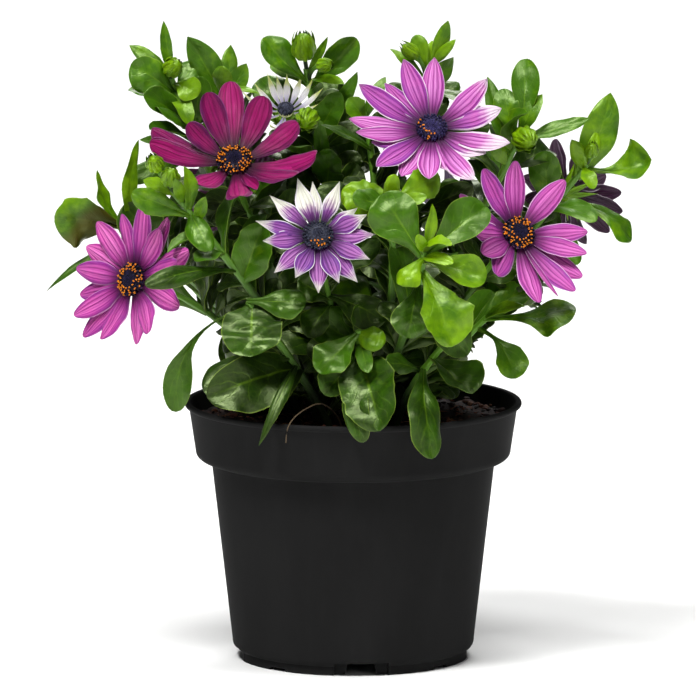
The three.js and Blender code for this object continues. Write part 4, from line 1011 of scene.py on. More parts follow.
@dataclass(frozen=True)
class Lie:
    """How a leaf lies: its root, the way it points, its upper side and the way across it."""

    base: Point
    along: Point
    up: Point
    across: Point
    length: float

    @classmethod
    def between(cls, base: Point, tip: Point, face: Point) -> "Lie":
        """The lie of a leaf from base to tip whose upper side looks towards face."""
        way = tip - base
        length = float(np.linalg.norm(way))
        along = way / length
        up = face - along * np.dot(face, along)
        if np.linalg.norm(up) < 0.05:
            up = place(along[2], 0, -along[0])
        up = unit(up)
        return cls(base, along, up, np.cross(along, up), length)

    def bent(self, pitch: float, yaw: float) -> "Lie":
        """The same leaf turned about its root, up by pitch and sideways by yaw, in degrees."""
        pitch, yaw = math.radians(pitch), math.radians(yaw)
        along = self.along * math.cos(pitch) + self.up * math.sin(pitch)
        up = self.up * math.cos(pitch) - self.along * math.sin(pitch)
        turned = along * math.cos(yaw) + self.across * math.sin(yaw)
        across = self.across * math.cos(yaw) - along * math.sin(yaw)
        return Lie(self.base, turned, up, across, self.length)

    def tip(self, scale: float) -> Point:
        """Where the tip is, at this scale."""
        return self.base + self.along * self.length * scale

    def spine(self, arch: float, sweep: float, scale: float) -> Bend:
        """The leaf's spine: arched up, swept sideways, from inside its stem to its tip."""
        length = self.length * scale
        bend = (self.base + self.along * 0.48 * length + self.up * arch * length
                + self.across * sweep * length)
        return Bend((self.base - self.along * ROOT_DEPTH, bend, self.tip(scale)))


ROOT_DEPTH = 0.4  # how far inside its stem a leaf starts
# how the frame's leaves were laid aside: by these degrees, up and sideways in these ways, and
# at these scales
BEND_STEPS = (7, 14, 22, 32)
BEND_WAYS = ((1, 0), (-1, 0), (0, 1), (0, -1), (0.8, 0.8), (-0.8, 0.8), (0.8, -0.8), (-0.8, -0.8))
LEAF_SCALES = (1.0, 0.78)


class Solid:
    """One of the frame's solids, by its corners."""

    def __init__(self, node: bpy.types.Object) -> None:
        """Sorts the node's corners by place, so that one can be looked up."""
        vertices = node.data.vertices
        self.tree = KDTree(len(vertices))
        for index, vertex in enumerate(vertices):
            self.tree.insert(vertex.co / MM, index)
        self.tree.balance()

    def has_corner(self, point: Point, reach: float = 0.05) -> bool:
        """Whether the solid has a corner at this point."""
        return self.tree.find(Vector(point))[2] < reach

    def lie_of(self, lie: Lie) -> tuple[Lie, float] | None:
        """How a leaf was laid among its neighbours.

        Args:
            lie: The lie that it was meant to have.

        Returns:
            The lie and scale that it has in the solid, or None if it isn't there.
        """
        bends = [(0.0, 0.0)] + [(step * pitch, step * yaw) for step in BEND_STEPS
                                for pitch, yaw in BEND_WAYS]
        for scale in LEAF_SCALES:
            for pitch, yaw in bends:
                bent = lie.bent(pitch, yaw)
                if self.has_corner(bent.tip(scale)):
                    return bent, scale
        return None


# ---------------- flower heads


@dataclass(frozen=True)
class Head:
    """A flower head: its middle, in the plane that the petals lie in, and its axis."""

    centre: Point
    axis: Point

    @property
    def right(self) -> Point:
        """To the flower's own right across the head, which is left from in front."""
        return -unit(np.cross(UP, self.axis))

    @property
    def up(self) -> Point:
        """Up across the head."""
        return -unit(np.cross(self.axis, self.right))

    def at(self, radius: Any, angle: Any, forward: Any) -> np.ndarray:
        """A point out from the axis by radius at an angle, and forward along the axis."""
        radius, angle, forward = (np.asarray(part, dtype=float)[..., None]
                                  for part in (radius, angle, forward))
        return (self.centre + self.right * radius * np.cos(angle)
                + self.up * radius * np.sin(angle) + self.axis * forward)

    def out(self, angle: float) -> Point:
        """Straight out from the axis at an angle."""
        return self.right * math.cos(angle) + self.up * math.sin(angle)

    def angle_of(self, point: Point) -> float:
        """The angle at which a point lies round the axis."""
        offset = point - self.centre
        return math.atan2(float(np.dot(offset, self.up)), float(np.dot(offset, self.right)))

    def tip_on_sight(self, x: float, height: float, cup: float) -> Point:
        """The petal tip that reads at x and height, and rises from the petal plane by cup."""
        start = front(x, height, 0) - self.centre
        sight = place(0, 1, -SIGHT_FALL)
        reach = float(np.dot(sight, self.axis))
        tip, rise = start, 0.0
        for _ in range(40):
            tip = start + sight * ((rise - float(np.dot(start, self.axis))) / reach)
            flat = tip - self.axis * np.dot(tip, self.axis)
            rise = 0.5 * rise + 0.5 * math.tan(cup) * float(np.linalg.norm(flat))
        return tip + self.centre

    def turned(self, pattern: Pattern, profile: Sequence[tuple[float, float]]) -> np.ndarray:
        """Lays a stalk pattern out as a round shape about the axis.

        Args:
            pattern: The stalk pattern.
            profile: Radius and forward reach, from the lower end to the upper.

        Returns:
            The points in millimetres.
        """
        radius, forward = (np.array(column) for column in zip(*profile))
        walk = np.concatenate(([0], np.cumsum(np.hypot(np.diff(radius), np.diff(forward)))))
        at = pattern.corners[:, 2] * walk[-1]
        angle = np.arctan2(pattern.corners[:, 1], pattern.corners[:, 0])
        return self.at(np.interp(at, walk, radius), angle, np.interp(at, walk, forward))


PETAL_ROOT = 3.2  # how far from the axis a petal starts
ROOT_LEVELS = (-0.34, -0.76)  # the even and the odd petals' roots, forward of the petal plane
LAYER_CUP = 4.0  # how much further the even petals rise, in degrees, and the odd ones less
PETAL_BEND = 0.42  # where along a petal it begins to turn up
CUP_TOP = -1.65  # the green cup's top, forward of the petal plane
CUP_LENGTH = 6.5
CUP_BRACTS = 14
BRACT_WIDTH = 2.3
STEM_APPROACH = 34.0  # how far under its head a stem comes into the flower's axis


@dataclass(frozen=True)
class Disc:
    """The florets in the middle of a head.

    Attributes:
        finish: Their colours.
        scale: Their spread against a disc of 6 mm radius.
        dome: How far the middle rises over the rim.
        pollen_turn: Where round the rim the open anthers are, in degrees.
        pollen_spread: How far to each side of it they reach; 180 is all round.
        pollen_share: How many of the florets there are open.
    """

    finish: FloretFinish
    scale: float = 1.0
    dome: float = 0.6
    pollen_turn: float = 0.0
    pollen_spread: float = 180.0
    pollen_share: float = 0.92

    radius: float = 6.0
    buds: int = 90
    middle: float = 0.54
    rings: tuple[tuple[float, int], ...] = ((0.6, 15), (0.76, 19), (0.91, 23), (1.03, 26))

    def build(self, name: str, head: Head, foot: float, patterns: Patterns) -> bpy.types.Object:
        """Models the disc.

        Args:
            name: The piece's name.
            head: The head that it sits in.
            foot: How far forward it starts.
            patterns: The patterns to lay out.

        Returns:
            The disc as one piece.
        """
        batch = Batch()
        radius = self.radius * self.scale
        profile = [(0.3, foot - 0.9), (0.62 * radius, foot - 0.8), (0.93 * radius, foot),
                   (0.9 * radius, foot + 0.7), (0.55 * radius, foot + 1.0 + 0.7 * self.dome),
                   (0.2, foot + 1.1 + self.dome)]
        turned = patterns.turned
        batch.add(head.turned(turned, profile), turned.faces, rod_uv(turned.corners), tone=0.1)
        luck = random.Random(name)
        for index in range(self.buds):
            part = math.sqrt((index + 0.5) / self.buds)
            angle = index * GOLDEN_TURN
            reach = self.middle * radius * part
            level = foot + 1.0 + (0.35 + self.dome) * (1 - part**2)
            size = 0.27 + 0.1 * part + luck.uniform(-0.03, 0.03)
            self._bead(batch, patterns.bead, head, reach, angle, level, size, 0.75,
                       tone=luck.uniform(0.1, 1.0))
        for ring, (part, count) in enumerate(self.rings):
            for index in range(count):
                angle = (index + 0.5 * (ring % 2)) * math.tau / count + luck.uniform(-0.07, 0.07)
                self._floret(batch, patterns.bead, head, part * radius, angle, foot, ring, luck)
        return batch.piece(name, [self.finish.material(f"{name}_florets")], sharp=180)

    def _floret(self, batch: Batch, bead: Pattern, head: Head, reach: float, angle: float,
                foot: float, ring: int, luck: random.Random) -> None:
        """One open floret of the rim: a dark tube, and its anthers where they show."""
        off = math.degrees(angle) - self.pollen_turn
        off = abs((off + 180) % 360 - 180)
        level = foot + 1.3 - 0.35 * ring + luck.uniform(-0.12, 0.15)
        self._bead(batch, bead, head, reach, angle, level, 0.44, 1.0, tone=luck.uniform(0, 0.6))
        if off > self.pollen_spread or luck.random() > self.pollen_share * (1 - 0.12 * ring):
            return
        for _ in range(luck.choice((1, 2, 2))):
            self._bead(batch, bead, head, reach + luck.uniform(-0.3, 0.3),
                       angle + luck.uniform(-0.07, 0.07), level + luck.uniform(0.7, 1.0),
                       luck.uniform(0.26, 0.42), luck.uniform(0.3, 0.5), pollen=1.0,
                       tone=luck.random())

    @staticmethod
    def _bead(batch: Batch, bead: Pattern, head: Head, reach: float, angle: float, level: float,
              size: float, height: float, **marks: float) -> None:
        """A bead that stands on the disc."""
        out = head.out(angle)
        across = np.cross(head.axis, out)
        corners = bead.corners
        middle = head.centre + out * reach + head.axis * level
        points = (middle + out * corners[:, 0:1] * size + across * corners[:, 1:2] * size
                  + head.axis * corners[:, 2:3] * height)
        batch.add(points, bead.faces, np.zeros((len(corners), 2)), **marks)


@dataclass(frozen=True)
class Bloom:
    """A flower head and how its petals lie.

    Attributes:
        name: The flower's name, which its two nodes begin with.
        centre: The middle of the petal plane.
        axis: The way that it faces.
        cup: How far the petals rise from the petal plane, in degrees.
        width: A petal's width.
        petals: The petals' colours.
        disc: The florets.
        tips: Where each petal's tip reads from in front, and its share of the width.
        outline: The petals' outline.
        roll: How far each half of a petal rolls up, in radians.
        curled: Petals that are rolled further, by their number and roll.
        pale_turn: Where round the head the petals are the palest, in degrees.
        pale_most: How pale they are there.
        count: How many petals there are, where they are placed by rule.
        reach: How long those are.
        seed: What places them.
        bract_reach: How far out the green bracts under the head reach.
    """

    name: str
    centre: Point
    axis: Point
    cup: float
    width: float
    petals: PetalFinish
    disc: Disc
    tips: tuple[tuple[float, ...], ...] = ()
    outline: Outline = Outline.PETAL
    roll: float = 0.0
    curled: tuple[tuple[int, float], ...] = ()
    pale_turn: float = 0.0
    pale_most: float = 0.0
    count: int = 0
    reach: float = 0.0
    seed: int = 0
    bract_reach: float = 7.6

    @property
    def head(self) -> Head:
        """Its head."""
        return Head(self.centre, self.axis)

    def petal_tips(self) -> list[tuple[Point, float]]:
        """Each petal's tip and width, in order round the head."""
        head = self.head
        cups = [math.radians(self.cup + (LAYER_CUP if index % 2 == 0 else -LAYER_CUP))
                for index in range(max(self.count, len(self.tips)))]
        if self.tips:
            return [(head.tip_on_sight(x, height, cup), self.width * (rest[0] if rest else 1))
                    for (x, height, *rest), cup in zip(self.tips, cups)]
        draw = random_source(self.seed)
        tips = []
        for index, cup in enumerate(cups):
            angle = (index + 0.25 * draw()) * math.tau / self.count
            length = self.reach * (0.93 + 0.14 * draw())
            tips.append((head.at(length * math.cos(cup), angle, length * math.sin(cup)),
                         self.width))
        return tips

    def petal(self, index: int, tip: Point, width: float) -> Blade:
        """One petal.

        Args:
            index: Its number in the ring.
            tip: Its tip.
            width: Its width.

        Returns:
            The blade.
        """
        luck = random.Random(f"{self.name} {index}")
        offset = tip - self.centre
        outward = unit(offset - self.axis * np.dot(offset, self.axis))
        root = self.centre + outward * PETAL_ROOT + self.axis * ROOT_LEVELS[index % 2]
        length = float(np.linalg.norm(tip - root))
        roll = self.roll + dict(self.curled).get(index, 0.0)
        return Blade(
            Bend((root, root + outward * PETAL_BEND * length, tip)), np.cross(outward, self.axis),
            width, self.outline, thickness=0.45, root_thickness=0.5,
            fold=luck.uniform(-0.16, 0.02), roll=roll + luck.uniform(-0.4, 0.4),
            curl=luck.uniform(-0.08, 0.1), twist=luck.uniform(-0.24, 0.24),
            bow=luck.uniform(-0.02, 0.03), ripple=luck.uniform(0.02, 0.07), buckle=0.035,
            ridges=0.055, uneven=luck.uniform(-0.08, 0.08), phase=luck.random())

    def build_petals(self, patterns: Patterns) -> bpy.types.Object:
        """Models the ring of petals as one piece."""
        batch = Batch()
        head = self.head
        for index, (tip, width) in enumerate(self.petal_tips()):
            luck = random.Random(f"{self.name} tone {index}")
            off = head.angle_of(tip) - math.radians(self.pale_turn)
            pale = self.pale_most * max(0.0, math.cos(off))**1.5 + luck.uniform(0, 0.08)
            self.petal(index, tip, width).add_to(batch, patterns.petal, pale=pale,
                                                 tone=luck.uniform(0.15, 0.95))
        share = min(1.0, self.disc.scale)
        ring = [(2.2, -1.2), (4.6 * share, -1.2), (6.0 * share, -0.9), (6.2 * share, -0.3),
                (5.6 * share, 0.1), (2.2, 0.1)]
        turned = patterns.turned
        uv = np.column_stack((rod_uv(turned.corners)[:, 0], np.full(len(turned.corners), 0.05)))
        batch.add(head.turned(turned, ring), turned.faces, uv, tone=0.9, under=1.0)
        material = self.petals.material(f"{self.name}_petal")
        return batch.piece(f"{self.name}_petals_piece", [material])

    def build_disc(self, patterns: Patterns) -> bpy.types.Object:
        """Models the disc as one piece."""
        foot = 0.4 + 0.02 * self.cup
        return self.disc.build(f"{self.name}_disc_piece", self.head, foot, patterns)

    def add_cup(self, batch: Batch, patterns: Patterns) -> None:
        """Adds the green cup and its bracts, which end the stem under the head."""
        head = self.head
        turned = patterns.turned
        profile = [(1.0, CUP_TOP - CUP_LENGTH), (2.4, CUP_TOP - 0.86 * CUP_LENGTH),
                   (3.7, CUP_TOP - 0.55 * CUP_LENGTH), (4.3, CUP_TOP - 0.1), (3.9, CUP_TOP + 0.3),
                   (0.5, CUP_TOP + 0.35)]
        batch.add(head.turned(turned, profile), turned.faces, rod_uv(turned.corners), LEAF,
                  tone=0.25)
        slope = math.tan(math.radians(self.cup))
        for index in range(CUP_BRACTS):
            luck = random.Random(f"{self.name} bract {index}")
            angle = (index + luck.uniform(-0.2, 0.2)) * math.tau / CUP_BRACTS
            reach = self.bract_reach * luck.uniform(0.9, 1.08)
            level = -1.75 + (reach - 5) * slope * 0.9 - 0.25 * (index % 2)
            root, bend, tip = head.at([2.3, 5.0, reach], angle, [-7.2, -4.2, level])
            Blade(Bend((root, bend, tip)), np.cross(head.axis, head.out(angle)), BRACT_WIDTH,
                  Outline.BRACT, thickness=0.5, fold=-0.35).add_to(
                      batch, patterns.bract, LEAF, tone=luck.uniform(0.1, 0.4))


LEAF, STEM = 0, 1  # a leafy stem's finishes


# ---------------- pot, peat and strand


def hand_over(piece: bpy.types.Object, slot: str, *nodes: str) -> None:
    """Lets a finished piece ride with the plant, in place of its nodes, and logs it."""
    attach(piece, "root")
    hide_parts(*nodes)
    log.info("%s: %d faces", piece.name, len(piece.data.polygons))


def move_into_mesh(piece: bpy.types.Object) -> None:
    """Puts the piece's place, turn and size into its mesh."""
    select_only(piece)
    bpy.ops.object.transform_apply(location=True, rotation=True, scale=True)


def turned_shell(name: str, profile: Sequence[tuple[float, float]], sides: int) -> bpy.types.Object:
    """Turns a profile about the pot's axis: a circle is drawn out from point to point.

    Both ends are closed by flat faces across the axis.

    Args:
        name: The object's name.
        profile: Radius and height of each point, in millimetres.
        sides: Faces round it.

    Returns:
        The shell, with its faces pointing out.
    """
    deselect_all()
    (radius, height), *rest = profile
    bpy.ops.mesh.primitive_circle_add(vertices=sides, radius=radius * MM, fill_type="NOTHING",
                                      location=(0, 0, height * MM))
    shell = bpy.context.object
    shell.name = name
    move_into_mesh(shell)
    bpy.ops.object.mode_set(mode="EDIT")
    bpy.ops.mesh.select_all(action="SELECT")
    for next_radius, next_height in rest:
        bpy.ops.mesh.extrude_region_move(
            TRANSFORM_OT_translate={"value": (0, 0, (next_height - height) * MM)})
        share = next_radius / radius
        bpy.ops.transform.resize(value=(share, share, 1), center_override=(0, 0, next_height * MM))
        radius, height = next_radius, next_height
    bpy.ops.mesh.edge_face_add()
    bpy.ops.mesh.select_all(action="DESELECT")
    bpy.ops.mesh.select_non_manifold()
    bpy.ops.mesh.edge_face_add()
    bpy.ops.mesh.select_all(action="SELECT")
    bpy.ops.mesh.normals_make_consistent(inside=False)
    bpy.ops.object.mode_set(mode="OBJECT")
    return shell


def add_block(size: Point, middle: Point, turn: float) -> bpy.types.Object:
    """A block by its size and middle, turned about the pot's axis by turn from the front."""
    deselect_all()
    bpy.ops.mesh.primitive_cube_add(size=1, location=Vector(middle * MM))
    block = bpy.context.object
    block.scale = Vector(size * MM)
    move_into_mesh(block)
    block.rotation_euler = (0, 0, turn)
    move_into_mesh(block)
    return block


def combine(body: bpy.types.Object, tool: bpy.types.Object, operation: str) -> None:
    """Cuts tool from body or joins it on, by a Boolean modifier that is then applied."""
    cut = body.modifiers.new("cut", "BOOLEAN")
    cut.operation = operation
    cut.object = tool
    cut.solver = "EXACT"
    apply_modifiers(body)
    bpy.data.objects.remove(tool)


@dataclass(frozen=True)
class Pot:
    """The nursery pot: thin walls, a beaded lip, a wide band and a foot ring with notches."""

    height: float = 100.0
    lip_radius: float = 65.0
    lip_height: float = 2.2
    band_top: float = 63.2
    band_foot: float = 60.8
    band_level: float = 81.0
    body_top: float = 54.6
    body_top_level: float = 76.7
    body_foot: float = 46.7
    body_foot_level: float = 7.4
    foot_radius: float = 44.5
    foot_level: float = 3.5
    foot_width: float = 2.0
    shoulder: float = 3.0
    shoulder_rise: float = 0.7
    edge: float = 0.35
    floor_under: float = 5.6
    floor_top: float = 6.8
    wall: float = 1.2
    sides: int = 144
    notch_turn: float = 4.0
    notch_size: tuple[float, float] = (21.0, 5.0)
    shallow_size: tuple[float, float] = (7.5, 1.2)
    cheek: tuple[float, float, float, float] = (4.6, 6.1, 10.3, 3.2)
    drain_radius: float = 4.5
    drain_ring: float = 30.0
    finish: PotFinish = field(default_factory=PotFinish)

    def outer_profile(self) -> list[tuple[float, float]]:
        """Outside, from the middle of the underside up to the top of the lip."""
        lip = self.height - self.lip_height
        profile = [(6.0, self.floor_under), (self.foot_radius - self.foot_width, self.floor_under),
                   (self.foot_radius - self.foot_width, 0.25),
                   (self.foot_radius - self.foot_width + 0.25, 0),
                   (self.foot_radius - self.edge, 0), (self.foot_radius, self.edge),
                   (self.foot_radius, self.foot_level)]
        profile += self._round((self.foot_radius, self.foot_level),
                               (self.body_foot, self.foot_level + 0.6),
                               (self.body_foot, self.body_foot_level))
        shoulder = (self.body_top + self.shoulder, self.body_top_level + self.shoulder_rise)
        profile += [(self.body_top, self.body_top_level - self.edge),
                    (self.body_top + 0.45, self.body_top_level), shoulder]
        profile += self._round(shoulder,
                               (self.band_foot, self.body_top_level + 2 * self.shoulder_rise),
                               (self.band_foot, self.band_level))
        profile += [(self.band_top, lip - 0.8), (self.band_top + 0.25, lip - self.edge)]
        bead = self.lip_height / 2
        for step in range(9):
            angle = math.radians(-62 + 20 * step)
            profile.append((self.lip_radius - bead + bead * math.cos(angle),
                            self.height - bead + bead * math.sin(angle)))
        return profile

    def inner_profile(self) -> list[tuple[float, float]]:
        """Inside, from the lip down to the middle of the floor."""
        return [(self.band_top - 0.4, self.height - 0.25),
                (self.band_top - self.wall, self.height - 1.2),
                (self.band_foot - self.wall, self.band_level + self.wall),
                (self.band_foot - 2 * self.wall, self.body_top_level + 2 * self.wall),
                (self.body_top - self.wall, self.body_top_level + self.wall),
                (self.body_foot - self.wall, self.floor_top), (6.0, self.floor_top)]

    @staticmethod
    def _round(start: tuple[float, float], corner: tuple[float, float],
               end: tuple[float, float]) -> list[tuple[float, float]]:
        """A rounded corner, without its start."""
        curve = Bend(tuple(place(radius, 0, level) for radius, level in (start, corner, end)))
        walk = curve.at(np.linspace(0, 1, 7)[1:])
        return [(float(point[0]), float(point[2])) for point in walk]

    def inside_radius(self, level: float) -> float:
        """The radius inside the wall at a height."""
        walls = sorted((height, radius) for radius, height in self.inner_profile())
        heights, radii = zip(*walls)
        return float(np.interp(level, heights[1:], radii[1:]))

    def _notch(self, shell: bpy.types.Object, size: tuple[float, float], turn: float) -> None:
        """Cuts a notch of this width and height through the foot ring."""
        width, height = size
        reach = 8.0
        block = add_block(place(width, reach, height + 1),
                          place(0, -self.foot_radius, (height - 1) / 2), turn)
        combine(shell, block, "DIFFERENCE")

    def _cheek(self, shell: bpy.types.Object, hand: int, turn: float) -> None:
        """Joins on the short sloping web that stands inside one side of a wide notch."""
        inside, inside_foot, outside, depth = self.cheek
        height = self.floor_under
        middle = place(hand * (inside + outside) / 2,
                       -(self.foot_radius - self.foot_width - depth / 2 - 0.02), height / 2 + 0.4)
        web = add_block(place(outside - inside, depth, height), middle, 0)
        for vertex in web.data.vertices:
            x, low = vertex.co.x / MM, vertex.co.z / MM < height / 2
            if low and abs(x) < (inside + outside) / 2:
                vertex.co.x = hand * inside_foot * MM
        web.rotation_euler = (0, 0, turn)
        move_into_mesh(web)
        combine(shell, web, "UNION")

    def build(self) -> bpy.types.Object:
        """Models the pot as one piece."""
        shell = turned_shell("pot_piece", self.outer_profile() + self.inner_profile(), self.sides)
        for quarter in range(4):
            turn = math.radians(self.notch_turn + 90 * quarter)
            self._notch(shell, self.notch_size, turn)
            for hand in (-1, 1):
                self._cheek(shell, hand, turn)
            self._notch(shell, self.shallow_size, turn + math.pi / 4)
        for index in range(4):
            turn = (index + 0.5) * math.pi / 2
            deselect_all()
            bpy.ops.mesh.primitive_cylinder_add(
                vertices=24, radius=self.drain_radius * MM, depth=8 * MM,
                location=(self.drain_ring * MM * math.cos(turn),
                          self.drain_ring * MM * math.sin(turn), self.floor_top * MM))
            drain = bpy.context.object
            move_into_mesh(drain)
            combine(shell, drain, "DIFFERENCE")
        shell.data.materials.clear()
        shell.data.materials.append(self.finish.material())
        select_only(shell)
        bpy.ops.object.shade_smooth_by_angle(angle=math.radians(32))
        return shell


@dataclass(frozen=True)
class Soil:
    """The peat that fills the pot: an uneven bed with crumbs and fibres on it."""

    pot: Pot
    level: float = 93.0
    swell: float = 1.6
    clearance: float = 0.35
    side_gap: float = 0.6
    sides: int = 120
    rings: int = 34
    crumbs: int = 1500
    fibres: int = 46
    seed: int = 5
    finish: PeatFinish = field(default_factory=PeatFinish)

    def height_at(self, x: float, y: float) -> float:
        """The bed's height."""
        radius = math.hypot(x, y) / self.pot.band_foot
        fine = noise.noise(Vector((x * 0.42, y * 0.42, 3.1)))
        coarse = noise.noise(Vector((x * 0.13, y * 0.13, 8.7)))
        wide = (0.9 * math.sin(0.19 * x + 0.4) * math.cos(0.23 * y - 0.9)
                + 0.7 * math.sin(0.41 * x - 0.33 * y + 1.7))
        return self.level + self.swell * (1 - radius) + 0.8 * wide + 1.1 * fine + 1.3 * coarse

    def build(self, patterns: Patterns) -> bpy.types.Object:
        """Models the peat as one piece."""
        rim = self.pot.inside_radius(self.level) - self.clearance
        bed = [(rim * (1 - index / self.rings) + 0.4, self.level)
               for index in range(self.rings + 1)]
        pot = self.pot
        foot = pot.floor_top + self.clearance
        walls = [(12.0, foot), (pot.body_foot - pot.wall - self.side_gap, foot),
                 (pot.body_top - pot.wall - self.side_gap, pot.body_top_level + 2),
                 (pot.band_foot - 2 * pot.wall - self.side_gap, pot.body_top_level + 3.2),
                 (pot.inside_radius(84) - 0.4, 84.0)]
        body = Pattern.taken_from(turned_shell("soil_body", walls + bed, self.sides))
        points = body.corners / MM
        tone = np.full(len(points), 0.18)
        for index, (x, y, level) in enumerate(points):
            if level > self.level - 0.5:
                share = min(1.0, (rim + 0.4 - math.hypot(x, y)) / 2.5)
                points[index, 2] = self.height_at(x, y) - 1.2 * (1 - share)
                tone[index] = 0.25 + 0.5 * noise.noise(Vector((x * 0.9, y * 0.9, 0)))
        batch = Batch()
        batch.add(points, body.faces, np.zeros((len(points), 2)), tone=tone)
        luck = random.Random(self.seed)
        for _ in range(self.crumbs):
            self._add_crumb(batch, patterns.crumb, luck, rim)
        for _ in range(self.fibres):
            self._add_fibre(batch, patterns.stem, luck, rim)
        return batch.piece("soil_piece", [self.finish.material()])

    def _spot(self, luck: random.Random, rim: float) -> Point:
        """A place on the bed."""
        radius, angle = (rim - 1.5) * math.sqrt(luck.random()), luck.uniform(0, math.tau)
        x, y = radius * math.cos(angle), radius * math.sin(angle)
        return place(x, y, self.height_at(x, y))

    def _add_crumb(self, batch: Batch, crumb: Pattern, luck: random.Random, rim: float) -> None:
        """One dented crumb, half sunk in the bed."""
        size = 0.35 + 1.1 * luck.random()**2.6
        stretch = place(luck.uniform(0.7, 1.4), luck.uniform(0.7, 1.4), luck.uniform(0.5, 0.9))
        shift = Vector((luck.uniform(0, 90), luck.uniform(0, 90), 0))
        dents = np.array([1 + 0.45 * noise.noise(Vector(corner) * 1.3 + shift)
                          for corner in crumb.corners])
        points = crumb.corners * dents[:, None] * stretch * size + self._spot(luck, rim)
        batch.add(points, crumb.faces, np.zeros((len(points), 2)), tone=0.9 * luck.random()**2)

    def _add_fibre(self, batch: Batch, stem: Pattern, luck: random.Random, rim: float) -> None:
        """One short fibre that lies across the crumbs."""
        start = self._spot(luck, rim - 8)
        turn, length = luck.uniform(0, math.tau), luck.uniform(4, 11)
        way = place(math.cos(turn), math.sin(turn), 0)
        middle = start + way * length / 2 + place(-way[1], way[0], 0) * luck.uniform(-2, 2)
        end = start + way * length
        middle[2] = self.height_at(*middle[:2]) + luck.uniform(0.6, 2.2)
        end[2] = self.height_at(*end[:2]) + 0.1
        radius = luck.uniform(0.1, 0.22)
        corners = stem.corners
        points = rod_points(corners, Bend((start, middle, end)), np.full(len(corners), radius))
        batch.add(points, stem.faces, rod_uv(corners), tone=luck.uniform(0.7, 1.0))


@dataclass(frozen=True)
class Strand:
    """The thin dry stalk that lies over the front of the lip."""

    radius: float = 0.34
    route: tuple[Point, ...] = (
        place(-3, -36, 90), place(-6, -41, 100), front(-12, 98.6, -48), front(-18.5, 96.4, -55.5),
        place(-23, -60.5, 102.2), place(-25, -64.6, 99), place(-25.6, -65.2, 94))
    finish: StrandFinish = field(default_factory=StrandFinish)

    def build(self, patterns: Patterns) -> bpy.types.Object:
        """Models the strand as one piece."""
        route = np.array(self.route)
        gaps = np.sqrt(np.linalg.norm(np.diff(route, axis=0), axis=1))
        stops = np.concatenate(([0], np.cumsum(gaps)))
        fine = np.linspace(0, stops[-1], 27)
        walk = np.column_stack([smooth_through(stops, route[:, axis], fine) for axis in range(3)])
        pattern = patterns.stem
        ring = np.round(pattern.corners[:, 2] * 26).astype(int)
        tangents = unit(np.gradient(walk, axis=0))
        side = unit(np.cross(tangents, place(0.2, 0.3, 1)))
        other = np.cross(tangents, side)
        taper = self.radius * (1 - 0.45 * pattern.corners[:, 2:3])
        points = (walk[ring] + side[ring] * pattern.corners[:, 0:1] * taper
                  + other[ring] * pattern.corners[:, 1:2] * taper)
        batch = Batch()
        batch.add(points, pattern.faces, rod_uv(pattern.corners))
        return batch.piece("dry_strand_piece", [self.finish.material()])


# ---------------- leafy stems


@dataclass(frozen=True)
class Leaf:
    """A planting row: where the leaf leaves its stem, its tip, and how it is shaped.

    Attributes:
        from_x: Where it leaves the stem, to the right of the middle.
        from_height: The same, as a height that reads from in front.
        x: Its tip, to the right of the middle.
        height: The tip's height, as it reads from in front.
        depth: How far behind the middle the tip is.
        width: Its widest.
        arch: How far its spine arches up, by its length.
        tilt: How far its upper face tilts up from facing front, in degrees.
        outline: Its outline.
        turn: How far the face turns to the right, in degrees.
        sweep: How far the spine sweeps sideways, by its length.
        tone: 0 for a young bright leaf to 1 for a dark grown one, where it isn't by rule.
        olive: How brown its face is.
    """

    from_x: float
    from_height: float
    x: float
    height: float
    depth: float
    width: float
    arch: float
    tilt: float
    outline: Outline = Outline.BROAD
    turn: float = 0.0
    sweep: float = 0.0
    # tone: 0 for a young bright leaf to 1 for a dark grown one, where it isn't by rule; above 1 it is
    # painted shade for leaves deep in the plant.
    tone: float | None = None
    olive: float = 0.0

    def lie(self, base: Point) -> Lie:
        """How the leaf is meant to lie, from its place on the stem."""
        return Lie.between(base, front(self.x, self.height, self.depth),
                           facing(self.turn, self.tilt))

    def grown(self, lie: Lie, scale: float, tone: float, luck: random.Random) -> Grown:
        """The leaf as it grew.

        Args:
            lie: How it lies.
            scale: Its size against what the row says.
            tone: Its tone by rule, where the row has none.
            luck: What its bends and waves are drawn from.

        Returns:
            The leaf.
        """
        spine = lie.spine(self.arch, self.sweep, scale)
        blade = leaf_blade(spine, lie.across, self.width * scale, self.outline, luck)
        return Grown(blade, tone if self.tone is None else self.tone, self.olive)


@dataclass(frozen=True)
class Bud:
    """A bud: where its stalk leaves the stem, the bud's middle, and its radius."""

    from_x: float
    from_height: float
    x: float
    height: float
    depth: float
    radius: float


@dataclass(frozen=True)
class Branch:
    """A side stem that carries a flower: where it leaves the main one."""

    from_x: float
    from_height: float
    bloom: str


@dataclass(frozen=True)
class Fill:
    """Leaves placed by rule: how many, along which stretch, how long, how far to the front."""

    count: int
    start: float
    end: float
    size: float
    front_limit: float


